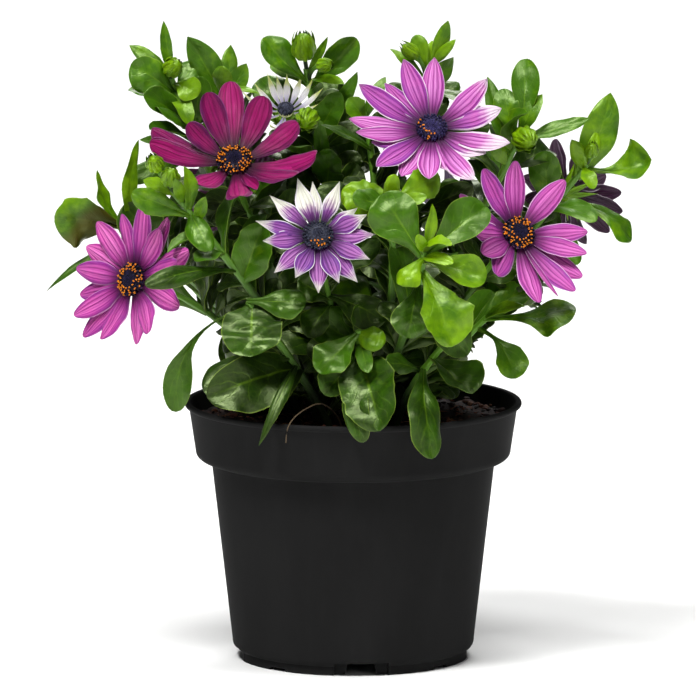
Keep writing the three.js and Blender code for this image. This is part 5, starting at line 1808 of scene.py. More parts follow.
@dataclass(frozen=True)
class Crown:
    """The space that the plant's foliage fills."""

    centre: Point = field(default_factory=lambda: place(0, 2, 158))
    reach: Point = field(default_factory=lambda: place(88, 78, 72))
    # the foliage's own outline as it reads from in front, inside its longest tips
    outline: tuple[tuple[float, float], ...] = (
        (-48, 100), (-52, 122), (-52, 134), (-64, 148), (-84, 158), (-92, 172), (-82, 186),
        (-78, 208), (-72, 224), (-52, 226), (-34, 230), (-10, 229), (12, 222), (34, 228),
        (60, 218), (82, 202), (98, 188), (96, 172), (84, 160), (78, 138), (52, 128), (47, 118),
        (44, 100))

    def holds(self, point: Point, share: float = 1.0) -> bool:
        """Whether a point is inside the crown, or inside this share of it."""
        return float(np.linalg.norm((point - self.centre) / (self.reach * share))) < 1

    def hides(self, point: Point) -> bool:
        """Whether a point reads inside the foliage's outline from in front."""
        x, height = point[0], point[2] + SIGHT_FALL * point[1]
        inside = False
        previous = self.outline[-1]
        for corner in self.outline:
            if (corner[1] > height) != (previous[1] > height):
                cut = corner[0] + (height - corner[1]) * (previous[0] - corner[0]) / (
                    previous[1] - corner[1])
                inside ^= x < cut
            previous = corner
        return inside


class Neighbours:
    """What is already there, so that a further leaf can grow clear of it."""

    def __init__(self, nodes: Iterable[bpy.types.Object], blooms: Iterable[Bloom]) -> None:
        """Gathers what a leaf must stay clear of.

        Args:
            nodes: The frame's solids.
            blooms: The flowers; those that face forward mustn't be covered.
        """
        points: list[Vector] = []
        faces: list[Face] = []
        for node in nodes:
            start = len(points)
            points.extend(vertex.co / MM for vertex in node.data.vertices)
            faces.extend(tuple(start + corner for corner in face.vertices)
                         for face in node.data.polygons)
        self.solids = BVHTree.FromPolygons(points, faces)
        self.heads = [bloom.head for bloom in blooms if bloom.axis[1] < 0]
        self.leaves: list[tuple[np.ndarray, np.ndarray, BVHTree]] = []

    def blocks(self, leaf: Blade, gap: float) -> bool:
        """Whether a new leaf would cross or cover something.

        Args:
            leaf: The new leaf.
            gap: How clear it has to stay.

        Returns:
            True if it can't grow there.
        """
        net = self._net(leaf)
        for point in net[2:].reshape(-1, 3):
            if self.solids.find_nearest(Vector(point), gap)[0] is not None:
                return True
            for head in self.heads:
                off = head.centre - point
                sideways = math.hypot(off[0], off[2] + SIGHT_FALL * off[1])
                if off[1] > -HEAD_BACK and sideways < HEAD_REACH:
                    return True
        lines = [(net[row, column], net[row + 1, column]) for row in range(1, len(net) - 1)
                 for column in range(net.shape[1])]
        lines += [(net[row, column], net[row, column + 1]) for row in range(2, len(net))
                  for column in range(net.shape[1] - 1)]
        low, high = net.min(axis=(0, 1)) - gap, net.max(axis=(0, 1)) + gap
        trees = [self.solids] + [tree for other_low, other_high, tree in self.leaves
                                 if np.all(other_low < high) and np.all(low < other_high)]
        return any(self._crosses(tree, start, end) for tree in trees for start, end in lines)

    def add(self, leaf: Blade) -> None:
        """Counts a new leaf among the neighbours."""
        net = self._net(leaf)
        rows, columns = net.shape[:2]
        faces = [(row * columns + column, row * columns + column + 1,
                  (row + 1) * columns + column + 1, (row + 1) * columns + column)
                 for row in range(rows - 1) for column in range(columns - 1)]
        tree = BVHTree.FromPolygons([Vector(point) for point in net.reshape(-1, 3)], faces)
        self.leaves.append((net.min(axis=(0, 1)), net.max(axis=(0, 1)), tree))

    @staticmethod
    def _net(leaf: Blade) -> np.ndarray:
        """A coarse net over a leaf's upper face: rows from root to tip, three points across."""
        rows = np.linspace(-1, 1, 8)
        corners = np.array([(across, row, 1.0) for row in rows for across in (-1, 0, 1)])
        return leaf.points(corners).reshape(len(rows), 3, 3)

    @staticmethod
    def _crosses(tree: BVHTree, start: Point, end: Point) -> bool:
        """Whether a straight line between two points hits the tree."""
        way = Vector(end - start)
        return tree.ray_cast(Vector(start), way.normalized(), way.length)[0] is not None


@dataclass(frozen=True)
class Grown:
    """A leaf as it lies, and the marks that its finish reads."""

    blade: Blade
    tone: float
    olive: float = 0.0

    def add_to(self, batch: Batch, patterns: Patterns) -> None:
        """Adds the leaf to its stem's shapes, with fewer faces where it is small."""
        large = self.blade.width > 8 or self.blade.spine.length() > 22
        pattern = patterns.leaf if large else patterns.small_leaf
        reach = Blade.along(pattern.corners) + 0.22 * pattern.corners[:, 0]
        brown = self.olive * smooth_step(0.82, 0.6, reach)
        tone = self.tone * (1 - 0.8 * (self.olive - brown))
        self.blade.add_to(batch, pattern, LEAF, tone=tone, olive=brown)


def leaf_blade(spine: Bend, side: Point, width: float, outline: Outline,
               luck: random.Random) -> Blade:
    """A leaf with its own small bends and waves.

    Args:
        spine: From root to tip.
        side: Straight across it.
        width: Its widest.
        outline: Its outline.
        luck: What its bends and waves are drawn from.

    Returns:
        The blade.
    """
    size = min(1.0, width / 14)
    return Blade(
        spine, side, width, outline, thickness=0.75, root_thickness=0.9 * size + 0.2,
        fold=0.25 + luck.uniform(-0.15, 0.3), roll=luck.uniform(-0.7, 0.4),
        curl=luck.uniform(-0.3, 0.2), twist=luck.uniform(-0.55, 0.55),
        bow=luck.uniform(-0.02, 0.045), ripple=luck.uniform(0.05, 0.18), buckle=0.06 * size,
        teeth=luck.choice((0.0, 0.05, 0.1, 0.17)), hook=luck.uniform(-0.15, 0.4),
        uneven=luck.uniform(-0.14, 0.14), groove=0.6 * size, phase=luck.random())


@dataclass(frozen=True)
class Shoot:
    """A leafy stem: the stem, its leaves, its buds and the cups under its flowers.

    Attributes:
        name: Its node's name.
        tone: Its grown leaves' tone, from 0 bright to 1 dark.
        stem: The points that lead the stem; under a flower, only the first two.
        bloom: The flower on its end.
        leaves: Its leaves.
        free: Further leaves, deep in the plant, that have no solid in the frame.
        buds: Its buds.
        branches: Its side stems.
        fill: Its leaves placed by rule.
        inner: How many small leaves fill it out.
    """

    name: str
    tone: float
    stem: tuple[Point, ...]
    bloom: str = ""
    leaves: tuple[Leaf, ...] = ()
    free: tuple[Leaf, ...] = ()
    buds: tuple[Bud, ...] = ()
    branches: tuple[Branch, ...] = ()
    fill: Fill = Fill(0, 0, 1, 30, 0)
    inner: int = 26

    def curve(self, blooms: dict[str, Bloom]) -> Bend:
        """The stem's middle."""
        if not self.bloom:
            return Bend(self.stem)
        head = blooms[self.bloom].head
        end = head.centre + head.axis * (CUP_TOP - 0.5 * CUP_LENGTH)
        return Bend((*self.stem, head.centre - head.axis * STEM_APPROACH, end))

    @staticmethod
    def branch_curve(curve: Bend, branch: Branch, head: Head) -> Bend:
        """A side stem's middle."""
        at = curve.nearest(branch.from_x, branch.from_height)
        start = curve.at(at)
        end = head.centre + head.axis * (CUP_TOP - 0.5 * CUP_LENGTH)
        third = float(np.linalg.norm(end - start)) / 2.6
        return Bend((start, start + curve.along(at) * third, end - head.axis * third, end))

    def _tone_at(self, at: float, length: float) -> float:
        """A leaf's tone by where it grows: brighter and yellower towards the shoot's tip."""
        if self.bloom:
            return self.tone
        young = float(smooth_step(0.75, 1.0, np.array(at)))
        small = float(smooth_step(24.0, 8.0, np.array(length)))
        return self.tone * (1.15 - 0.4 * young) * (1 - 0.75 * small * young)

    def planted_leaves(self, curve: Bend, solid: Solid) -> list[Grown]:
        """The leaves of the planting rows, as they lie in the frame."""
        leaves = []
        for index, row in enumerate(self.leaves):
            at = curve.nearest(row.from_x, row.from_height)
            found = solid.lie_of(row.lie(curve.at(at)))
            if found is None:
                log.info("%s: leaf %d isn't in the frame", self.name, index)
                continue
            lie, scale = found
            luck = random.Random(f"{self.name} {index}")
            leaves.append(row.grown(lie, scale, self._tone_at(at, lie.length), luck))
        return leaves

    def free_leaves(self, curve: Bend) -> list[Grown]:
        """The leaves that lie just as their rows say."""
        leaves = []
        for index, row in enumerate(self.free):
            base = curve.at(curve.nearest(row.from_x, row.from_height))
            luck = random.Random(f"{self.name} free {index}")
            leaves.append(row.grown(row.lie(base), 1, self.tone, luck))
        return leaves

    def ruled_leaves(self, curve: Bend, solid: Solid, crown: Crown, seed: int) -> list[Grown]:
        """The leaves set round the stem by the golden turn, as they lie in the frame."""
        draw = random_source(seed)
        leaves = []
        fill = self.fill
        for index in range(fill.count):
            at = fill.start + (fill.end - fill.start) * (index + 0.5) / fill.count
            base, tangent = curve.at(at), curve.along(at)
            first = unit(np.cross(tangent, place(0.3, 1, 0.1)))
            second = unit(np.cross(tangent, first))
            turn = index * GOLDEN_TURN + math.tau * draw()
            rise = 0.1 + 0.6 * at + 0.2 * draw()
            length = fill.size * (1.25 - 0.6 * at) * (0.85 + 0.3 * draw())
            width = length * (0.44 + 0.1 * draw())
            for quarter in range(4):
                angle = turn + quarter * math.pi / 2
                outward = (first * math.cos(angle) + second * math.sin(angle)) * math.cos(rise)
                tip = base + outward * length + tangent * length * math.sin(rise)
                if tip[1] < fill.front_limit or not crown.holds(tip) or not crown.hides(tip):
                    continue
                found = solid.lie_of(Lie.between(base, tip, tangent))
                if found is not None:
                    lie, scale = found
                    luck = random.Random(f"{self.name} ruled {index}")
                    blade = leaf_blade(lie.spine(FILL_ARCH, 0, scale), lie.across, width * scale,
                                       Outline.BROAD, luck)
                    leaves.append(Grown(blade, 0.15 + 0.85 * self._tone_at(at, length)))
                break
        return leaves

    def inner_leaves(self, curve: Bend, crown: Crown, neighbours: Neighbours) -> list[Grown]:
        """Smaller leaves that fill the stem out, clear of all that is there, toned dark as painted
        shade.
        """
        luck = random.Random(f"{self.name} inner")
        leaves: list[Grown] = []
        tries = self.inner * INNER_TRIES
        while tries and len(leaves) < self.inner:
            tries -= 1
            at = luck.uniform(0.1, 1.0) if not self.bloom else luck.uniform(0.1, 0.8)
            base, tangent = curve.at(at), curve.along(at)
            first = unit(np.cross(tangent, place(0.3, 1, 0.1)))
            angle, rise = luck.uniform(0, math.tau), luck.uniform(0.15, 0.9)
            outward = first * math.cos(angle) + np.cross(tangent, first) * math.sin(angle)
            length = luck.uniform(*INNER_LENGTHS) * (1.15 - 0.45 * at)
            tip = base + (outward * math.cos(rise) + tangent * math.sin(rise)) * length
            if tip[1] < self.fill.front_limit + 4 or not crown.holds(tip, 0.98):
                continue
            if not crown.hides(tip) or tip[2] < ROOT_HEIGHT + INNER_RISE:
                continue
            away = unit(place(tip[0] - crown.centre[0], tip[1] - crown.centre[1] - 25, 0.1))
            lie = Lie.between(base, tip, UP * luck.uniform(0.3, 1.0) + away)
            blade = leaf_blade(lie.spine(luck.uniform(0.08, 0.22), luck.uniform(-0.1, 0.1), 1),
                               lie.across, length * luck.uniform(0.4, 0.56), Outline.BROAD, luck)
            sides = blade.points(np.array([(-1.0, 0.1, 0.0), (1.0, 0.1, 0.0)]))
            if not all(crown.hides(point) for point in sides):
                continue
            if neighbours.blocks(blade, INNER_GAP):
                continue
            neighbours.add(blade)
            # toned well past the shoot's own tone: painted shade deep in the foliage
            leaves.append(Grown(blade, 0.8 + 0.45 * self._tone_at(at, length)))
        return leaves

    def add_stem(self, batch: Batch, curve: Bend, radius: float, patterns: Patterns) -> None:
        """Adds a stem that tapers and swells a little where its leaves leave it."""
        corners = patterns.stem.corners
        along = corners[:, 2]
        around = np.arctan2(corners[:, 1], corners[:, 0])
        swell = 1 + 0.07 * np.sin(along * 46) + 0.06 * np.cos(5 * around)
        reach = radius * (1.2 - 0.45 * along) * swell
        batch.add(rod_points(corners, curve, reach), patterns.stem.faces, rod_uv(corners), STEM,
                  tone=self.tone)

    def add_bud(self, batch: Batch, curve: Bend, bud: Bud, patterns: Patterns) -> None:
        """Adds a bud of overlapping bracts on its stalk."""
        at = curve.nearest(bud.from_x, bud.from_height)
        start = curve.at(at)
        middle = front(bud.x, bud.height, bud.depth)
        bend = start + curve.along(at) * 0.5 * float(np.linalg.norm(middle - start))
        axis = unit(middle - bend)
        head = Head(middle - axis * 1.1 * bud.radius, axis)
        radius, length = bud.radius, 2.6 * bud.radius
        stalk = Bend((start, bend, head.centre + axis * 0.5 * radius))
        corners = patterns.stem.corners
        reach = BUD_STALK * (1 + 0.9 * smooth_step(0.75, 1.0, corners[:, 2]))
        batch.add(rod_points(corners, stalk, reach), patterns.stem.faces, rod_uv(corners), STEM)
        profile = [(0.2 * radius, 0), (0.66 * radius, 0.1 * length), (0.92 * radius, 0.3 * length),
                   (0.92 * radius, 0.55 * length), (0.78 * radius, 0.82 * length),
                   (0.5 * radius, 1.0 * length), (0.1 * radius, 1.06 * length)]
        turned = patterns.turned
        batch.add(head.turned(turned, profile), turned.faces, rod_uv(turned.corners), LEAF,
                  tone=0.1)
        for layer, (count, low, high) in enumerate(((11, 0.0, 1.22), (9, -0.02, 1.0))):
            for index in range(count):
                luck = random.Random(f"{self.name} {bud.x} {layer} {index}")
                angle = (index + 0.5 * layer + luck.uniform(-0.12, 0.12)) * math.tau / count
                out = 1.5 + 0.16 * layer
                close = luck.uniform(0.3, 0.6) * (1 + 0.5 * layer)
                root, belly, tip = head.at(
                    [0.3 * radius, out * radius, radius * close],
                    angle, [low * length, (0.4 - 0.06 * layer) * length,
                            high * length * luck.uniform(0.9, 1.1)])
                Blade(Bend((root, belly, tip)), np.cross(axis, head.out(angle)), 0.62 * radius,
                      Outline.BRACT, thickness=0.35, fold=-0.4, roll=-0.3).add_to(
                          batch, patterns.bract, LEAF, tone=luck.uniform(-0.1, 0.2))

    def build(self, frame: dict[str, Any], blooms: dict[str, Bloom], patterns: Patterns,
              crown: Crown, neighbours: Neighbours, seed: int,
              finishes: Sequence[bpy.types.Material]) -> bpy.types.Object:
        """Models the leafy stem as one piece.

        Args:
            frame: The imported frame.
            blooms: The flowers by name.
            patterns: The patterns to lay out.
            crown: The space that the foliage fills.
            neighbours: What its inner leaves have to stay clear of.
            seed: What its ruled leaves were placed from.
            finishes: The leaf's and the stem's material.

        Returns:
            The piece.
        """
        batch = Batch()
        curve = self.curve(blooms)
        self.add_stem(batch, curve, PEDUNCLE if self.bloom else STEM_RADIUS, patterns)
        if self.bloom:
            blooms[self.bloom].add_cup(batch, patterns)
        for branch in self.branches:
            bloom = blooms[branch.bloom]
            self.add_stem(batch, self.branch_curve(curve, branch, bloom.head), SIDE_STEM, patterns)
            bloom.add_cup(batch, patterns)
        for bud in self.buds:
            self.add_bud(batch, curve, bud, patterns)
        solid = Solid(frame["nodes"][self.name])
        grown = self.planted_leaves(curve, solid) + self.ruled_leaves(curve, solid, crown, seed)
        grown += self.free_leaves(curve)
        inner = self.inner_leaves(curve, crown, neighbours)
        for leaf in grown + inner:
            leaf.add_to(batch, patterns)
        log.info("%s: %d leaves and %d inner ones", self.name, len(grown), len(inner))
        return batch.piece(f"{self.name}_piece", finishes)


# radii of the stems: leafy, under a flower, beside the main one, under a bud
STEM_RADIUS, PEDUNCLE, SIDE_STEM, BUD_STALK = 1.6, 1.4, 1.15, 0.85
FILL_ARCH = 0.14
FIRST_SEED, SEED_STEP = 101, 37
# inner leaves: tries for each, their lengths, how far their tips stay over the stems' roots,
# and their gap to what is there
INNER_TRIES, INNER_LENGTHS, INNER_RISE, INNER_GAP = 16, (12, 32), 16, 0.5
# an inner leaf would cover a flower where it lies less than this behind the flower's middle
# and reads within this reach of it
HEAD_BACK, HEAD_REACH = 4, 32


# ---------------- planting lists


# in these finishes lit is a painted highlight, base a dark throat widened by painted shade, hue
# darkens the edges partly as painted shade, and CREAM's shine is a painted glow
PINK = PetalFinish(
    body="c22296", stripe="6e1470", hue="7e1c8c", edge="e2a0d2", tip="b43cae", base="1a0218",
    under="6d4270", under_stripe="3a1738", lit="f684d2", stripes=0.5, ridge=0.2)
MAGENTA = PetalFinish(
    body="84024e", stripe="4c0236", hue="4c0446", edge="b8589e", tip="74085a", base="180112",
    under="75406c", under_stripe="26091f", lit="ae1870", edge_part=0.35, stripes=0.2,
    ridge=0.1)
WHITE_PURPLE = PetalFinish(
    body="8e3498", stripe="4c1264", hue="6c309e", edge="f4eef2", tip="f6f5e4", base="1a0426",
    under="a08eae", under_stripe="543666", lit="cc84cc", tip_from=0.74, edge_part=1.0,
    stripes=0.62)
LILAC = PetalFinish(
    body="c236a6", stripe="701c7a", hue="8c30a6", edge="f8def2", tip="f5e2f0", base="28062c",
    under="83507c", under_stripe="4a2049", lit="ee96e0", tip_from=0.96, edge_part=1.0,
    stripes=0.55)
ROSE = PetalFinish(
    body="c0349e", stripe="6c1a70", hue="8a309e", edge="f0c4e8", tip="da7ece", base="260626",
    under="82507c", under_stripe="481f47", lit="e478cc", edge_part=0.8, stripes=0.5)
CREAM = PetalFinish(
    body="fbf9fc", stripe="a496cc", hue="ece8f8", edge="f8fadc", tip="d2de4c", base="8a7eb6",
    under="dde0a8", under_stripe="8d9068", tip_from=0.62, edge_part=0.9, stripes=0.3,
    glow=0.3, shine=0.32)
DUSKY = PetalFinish(
    body="c04caf", stripe="863084", hue="ab50b4", edge="d8c6d6", tip="c968bc", base="4c154b",
    under="3c2b3a", under_stripe="6d5c6e", edge_part=0.7)

BLUE_BLACK = FloretFinish(dark="0b0816", lit="2b2650")
VIOLET = FloretFinish(dark="1c1632", lit="524b86")
SLATE = FloretFinish(dark="1d1f2b", lit="54586e")

BLOOMS = (
    Bloom(
        "bloom_left", front(-84.3, 146.6, -35), facing(-43, 14), cup=6, width=9.2, petals=PINK,
        disc=Disc(BLUE_BLACK),
        tips=((-98, 169), (-88.5, 172, 0.7), (-79.5, 176.5), (-70.5, 170.5), (-73.5, 166),
              (-62.5, 157.5), (-67, 153), (-66, 136), (-78, 125.8), (-82.4, 121.6),
              (-96.4, 123.6), (-103.4, 124.6), (-106.9, 132.9), (-104.7, 141), (-106.1, 151),
              (-102.3, 159.6)),
    ),
    Bloom(
        "bloom_magenta", front(-45.3, 192.1, -30), facing(-4, 48), cup=21, width=10.2,
        petals=MAGENTA, disc=Disc(BLUE_BLACK, scale=1.05), outline=Outline.ROUND_PETAL,
        tips=((-56, 219), (-47, 223.5), (-34, 217.5), (-21, 207), (-14.1, 194.5), (-17.3, 190.5),
              (-21.9, 186.5), (-36.5, 181, 0.7), (-43, 178.5), (-58.7, 183), (-77.5, 199),
              (-77, 204.5), (-63, 207, 0.8)),
        curled=((7, 1.1), (12, 0.7)),
    ),
    Bloom(
        "bloom_white", front(-13.4, 163.3, -60), facing(0, 31), cup=3, width=8,
        petals=WHITE_PURPLE, disc=Disc(SLATE, scale=0.9, dome=1.6, pollen_turn=-90,
                                       pollen_spread=75, pollen_share=0.4),
        tips=((-37, 168.9, 0.85), (-31.6, 178.7, 0.9), (-21.1, 185.3), (-15.4, 184.2, 0.7),
              (-5.1, 184.2, 0.85), (1.6, 174, 0.8), (5.1, 171.3), (8.4, 163.7), (6.2, 154.1),
              (1.6, 145.3), (-5.4, 145), (-13.2, 141.2), (-21.9, 147), (-30, 148.9),
              (-34.3, 161.2)),
        outline=Outline.POINTED, pale_turn=85, pale_most=0.8,
    ),
    Bloom(
        "bloom_lilac", front(29.9, 204.8, -30), facing(2, 41), cup=12, width=9.2, petals=LILAC,
        outline=Outline.TAPERED,
        disc=Disc(VIOLET, scale=0.92, dome=0.9, pollen_turn=-40, pollen_spread=75,
                  pollen_share=0.6),
        tips=((2.2, 221.9), (-1.6, 208.6), (1, 203.2, 0.8), (7, 199.2), (8.7, 189.8),
              (18.1, 186.1), (28.7, 185), (35.7, 188.3), (45.4, 184.7), (50.5, 195), (59.5, 199),
              (56.5, 212.6), (51.1, 224.1), (31.1, 232.6), (19.2, 231.8), (12, 222.5, 0.8)),
        pale_turn=195, pale_most=0.8,
    ),
    Bloom(
        "bloom_right", front(62.7, 164.2, -45), facing(24, 31), cup=11, width=9, petals=ROSE,
        disc=Disc(BLUE_BLACK),
        tips=((61.7, 192.3), (49.5, 189.2), (80.7, 184.9), (89.3, 165, 0.9), (88.7, 156.5),
              (87, 147.5), (84, 142), (70.3, 137.6), (77.5, 140, 0.35), (54.3, 148.2),
              (48.8, 156.3), (46, 164.5), (40.3, 179, 0.8)),
        curled=((8, 1.2),),
    ),
    Bloom(
        "bloom_half_open", front(-26, 212.5, 8), facing(0, 50), cup=30, width=3.1, petals=CREAM,
        disc=Disc(SLATE, scale=0.46, dome=0.7, pollen_share=0),
        tips=((-43, 220.5), (-38, 223.5), (-33, 227.2), (-29.5, 226.5), (-25.5, 227),
              (-19.8, 226.5), (-15.5, 225.2), (-11.5, 221.5), (-41.5, 212.5), (-13.5, 215),
              (-32, 207), (-27, 206)),
        outline=Outline.POINTED, roll=0.75,
    ),
    Bloom(
        "bloom_turned_away", front(84, 181.8, 22), facing(148, 12), cup=10, width=8, petals=DUSKY,
        disc=Disc(BLUE_BLACK, scale=0.95),
        tips=((103.5, 181), (104, 173.5), (97.5, 188), (90, 199), (78, 202), (72, 197), (66, 187),
              (66, 177), (71, 167), (80, 161.5), (90, 161), (99, 165.5)),
        bract_reach=12.5,
    ),
    Bloom(
        "bloom_back_left", place(-42, 57.5, 172), facing(-150, 34), cup=9, width=9.5, petals=PINK,
        disc=Disc(BLUE_BLACK), count=14, reach=29, seed=71,
    ),
    Bloom(
        "bloom_back_right", place(46, 58, 160), facing(146, 30), cup=4, width=8.6,
        petals=WHITE_PURPLE, disc=Disc(SLATE, scale=1.05, dome=1.2, pollen_turn=-90,
                                       pollen_spread=60),
        outline=Outline.POINTED, count=14, reach=26, seed=37, pale_turn=90, pale_most=0.6,
    ),
)

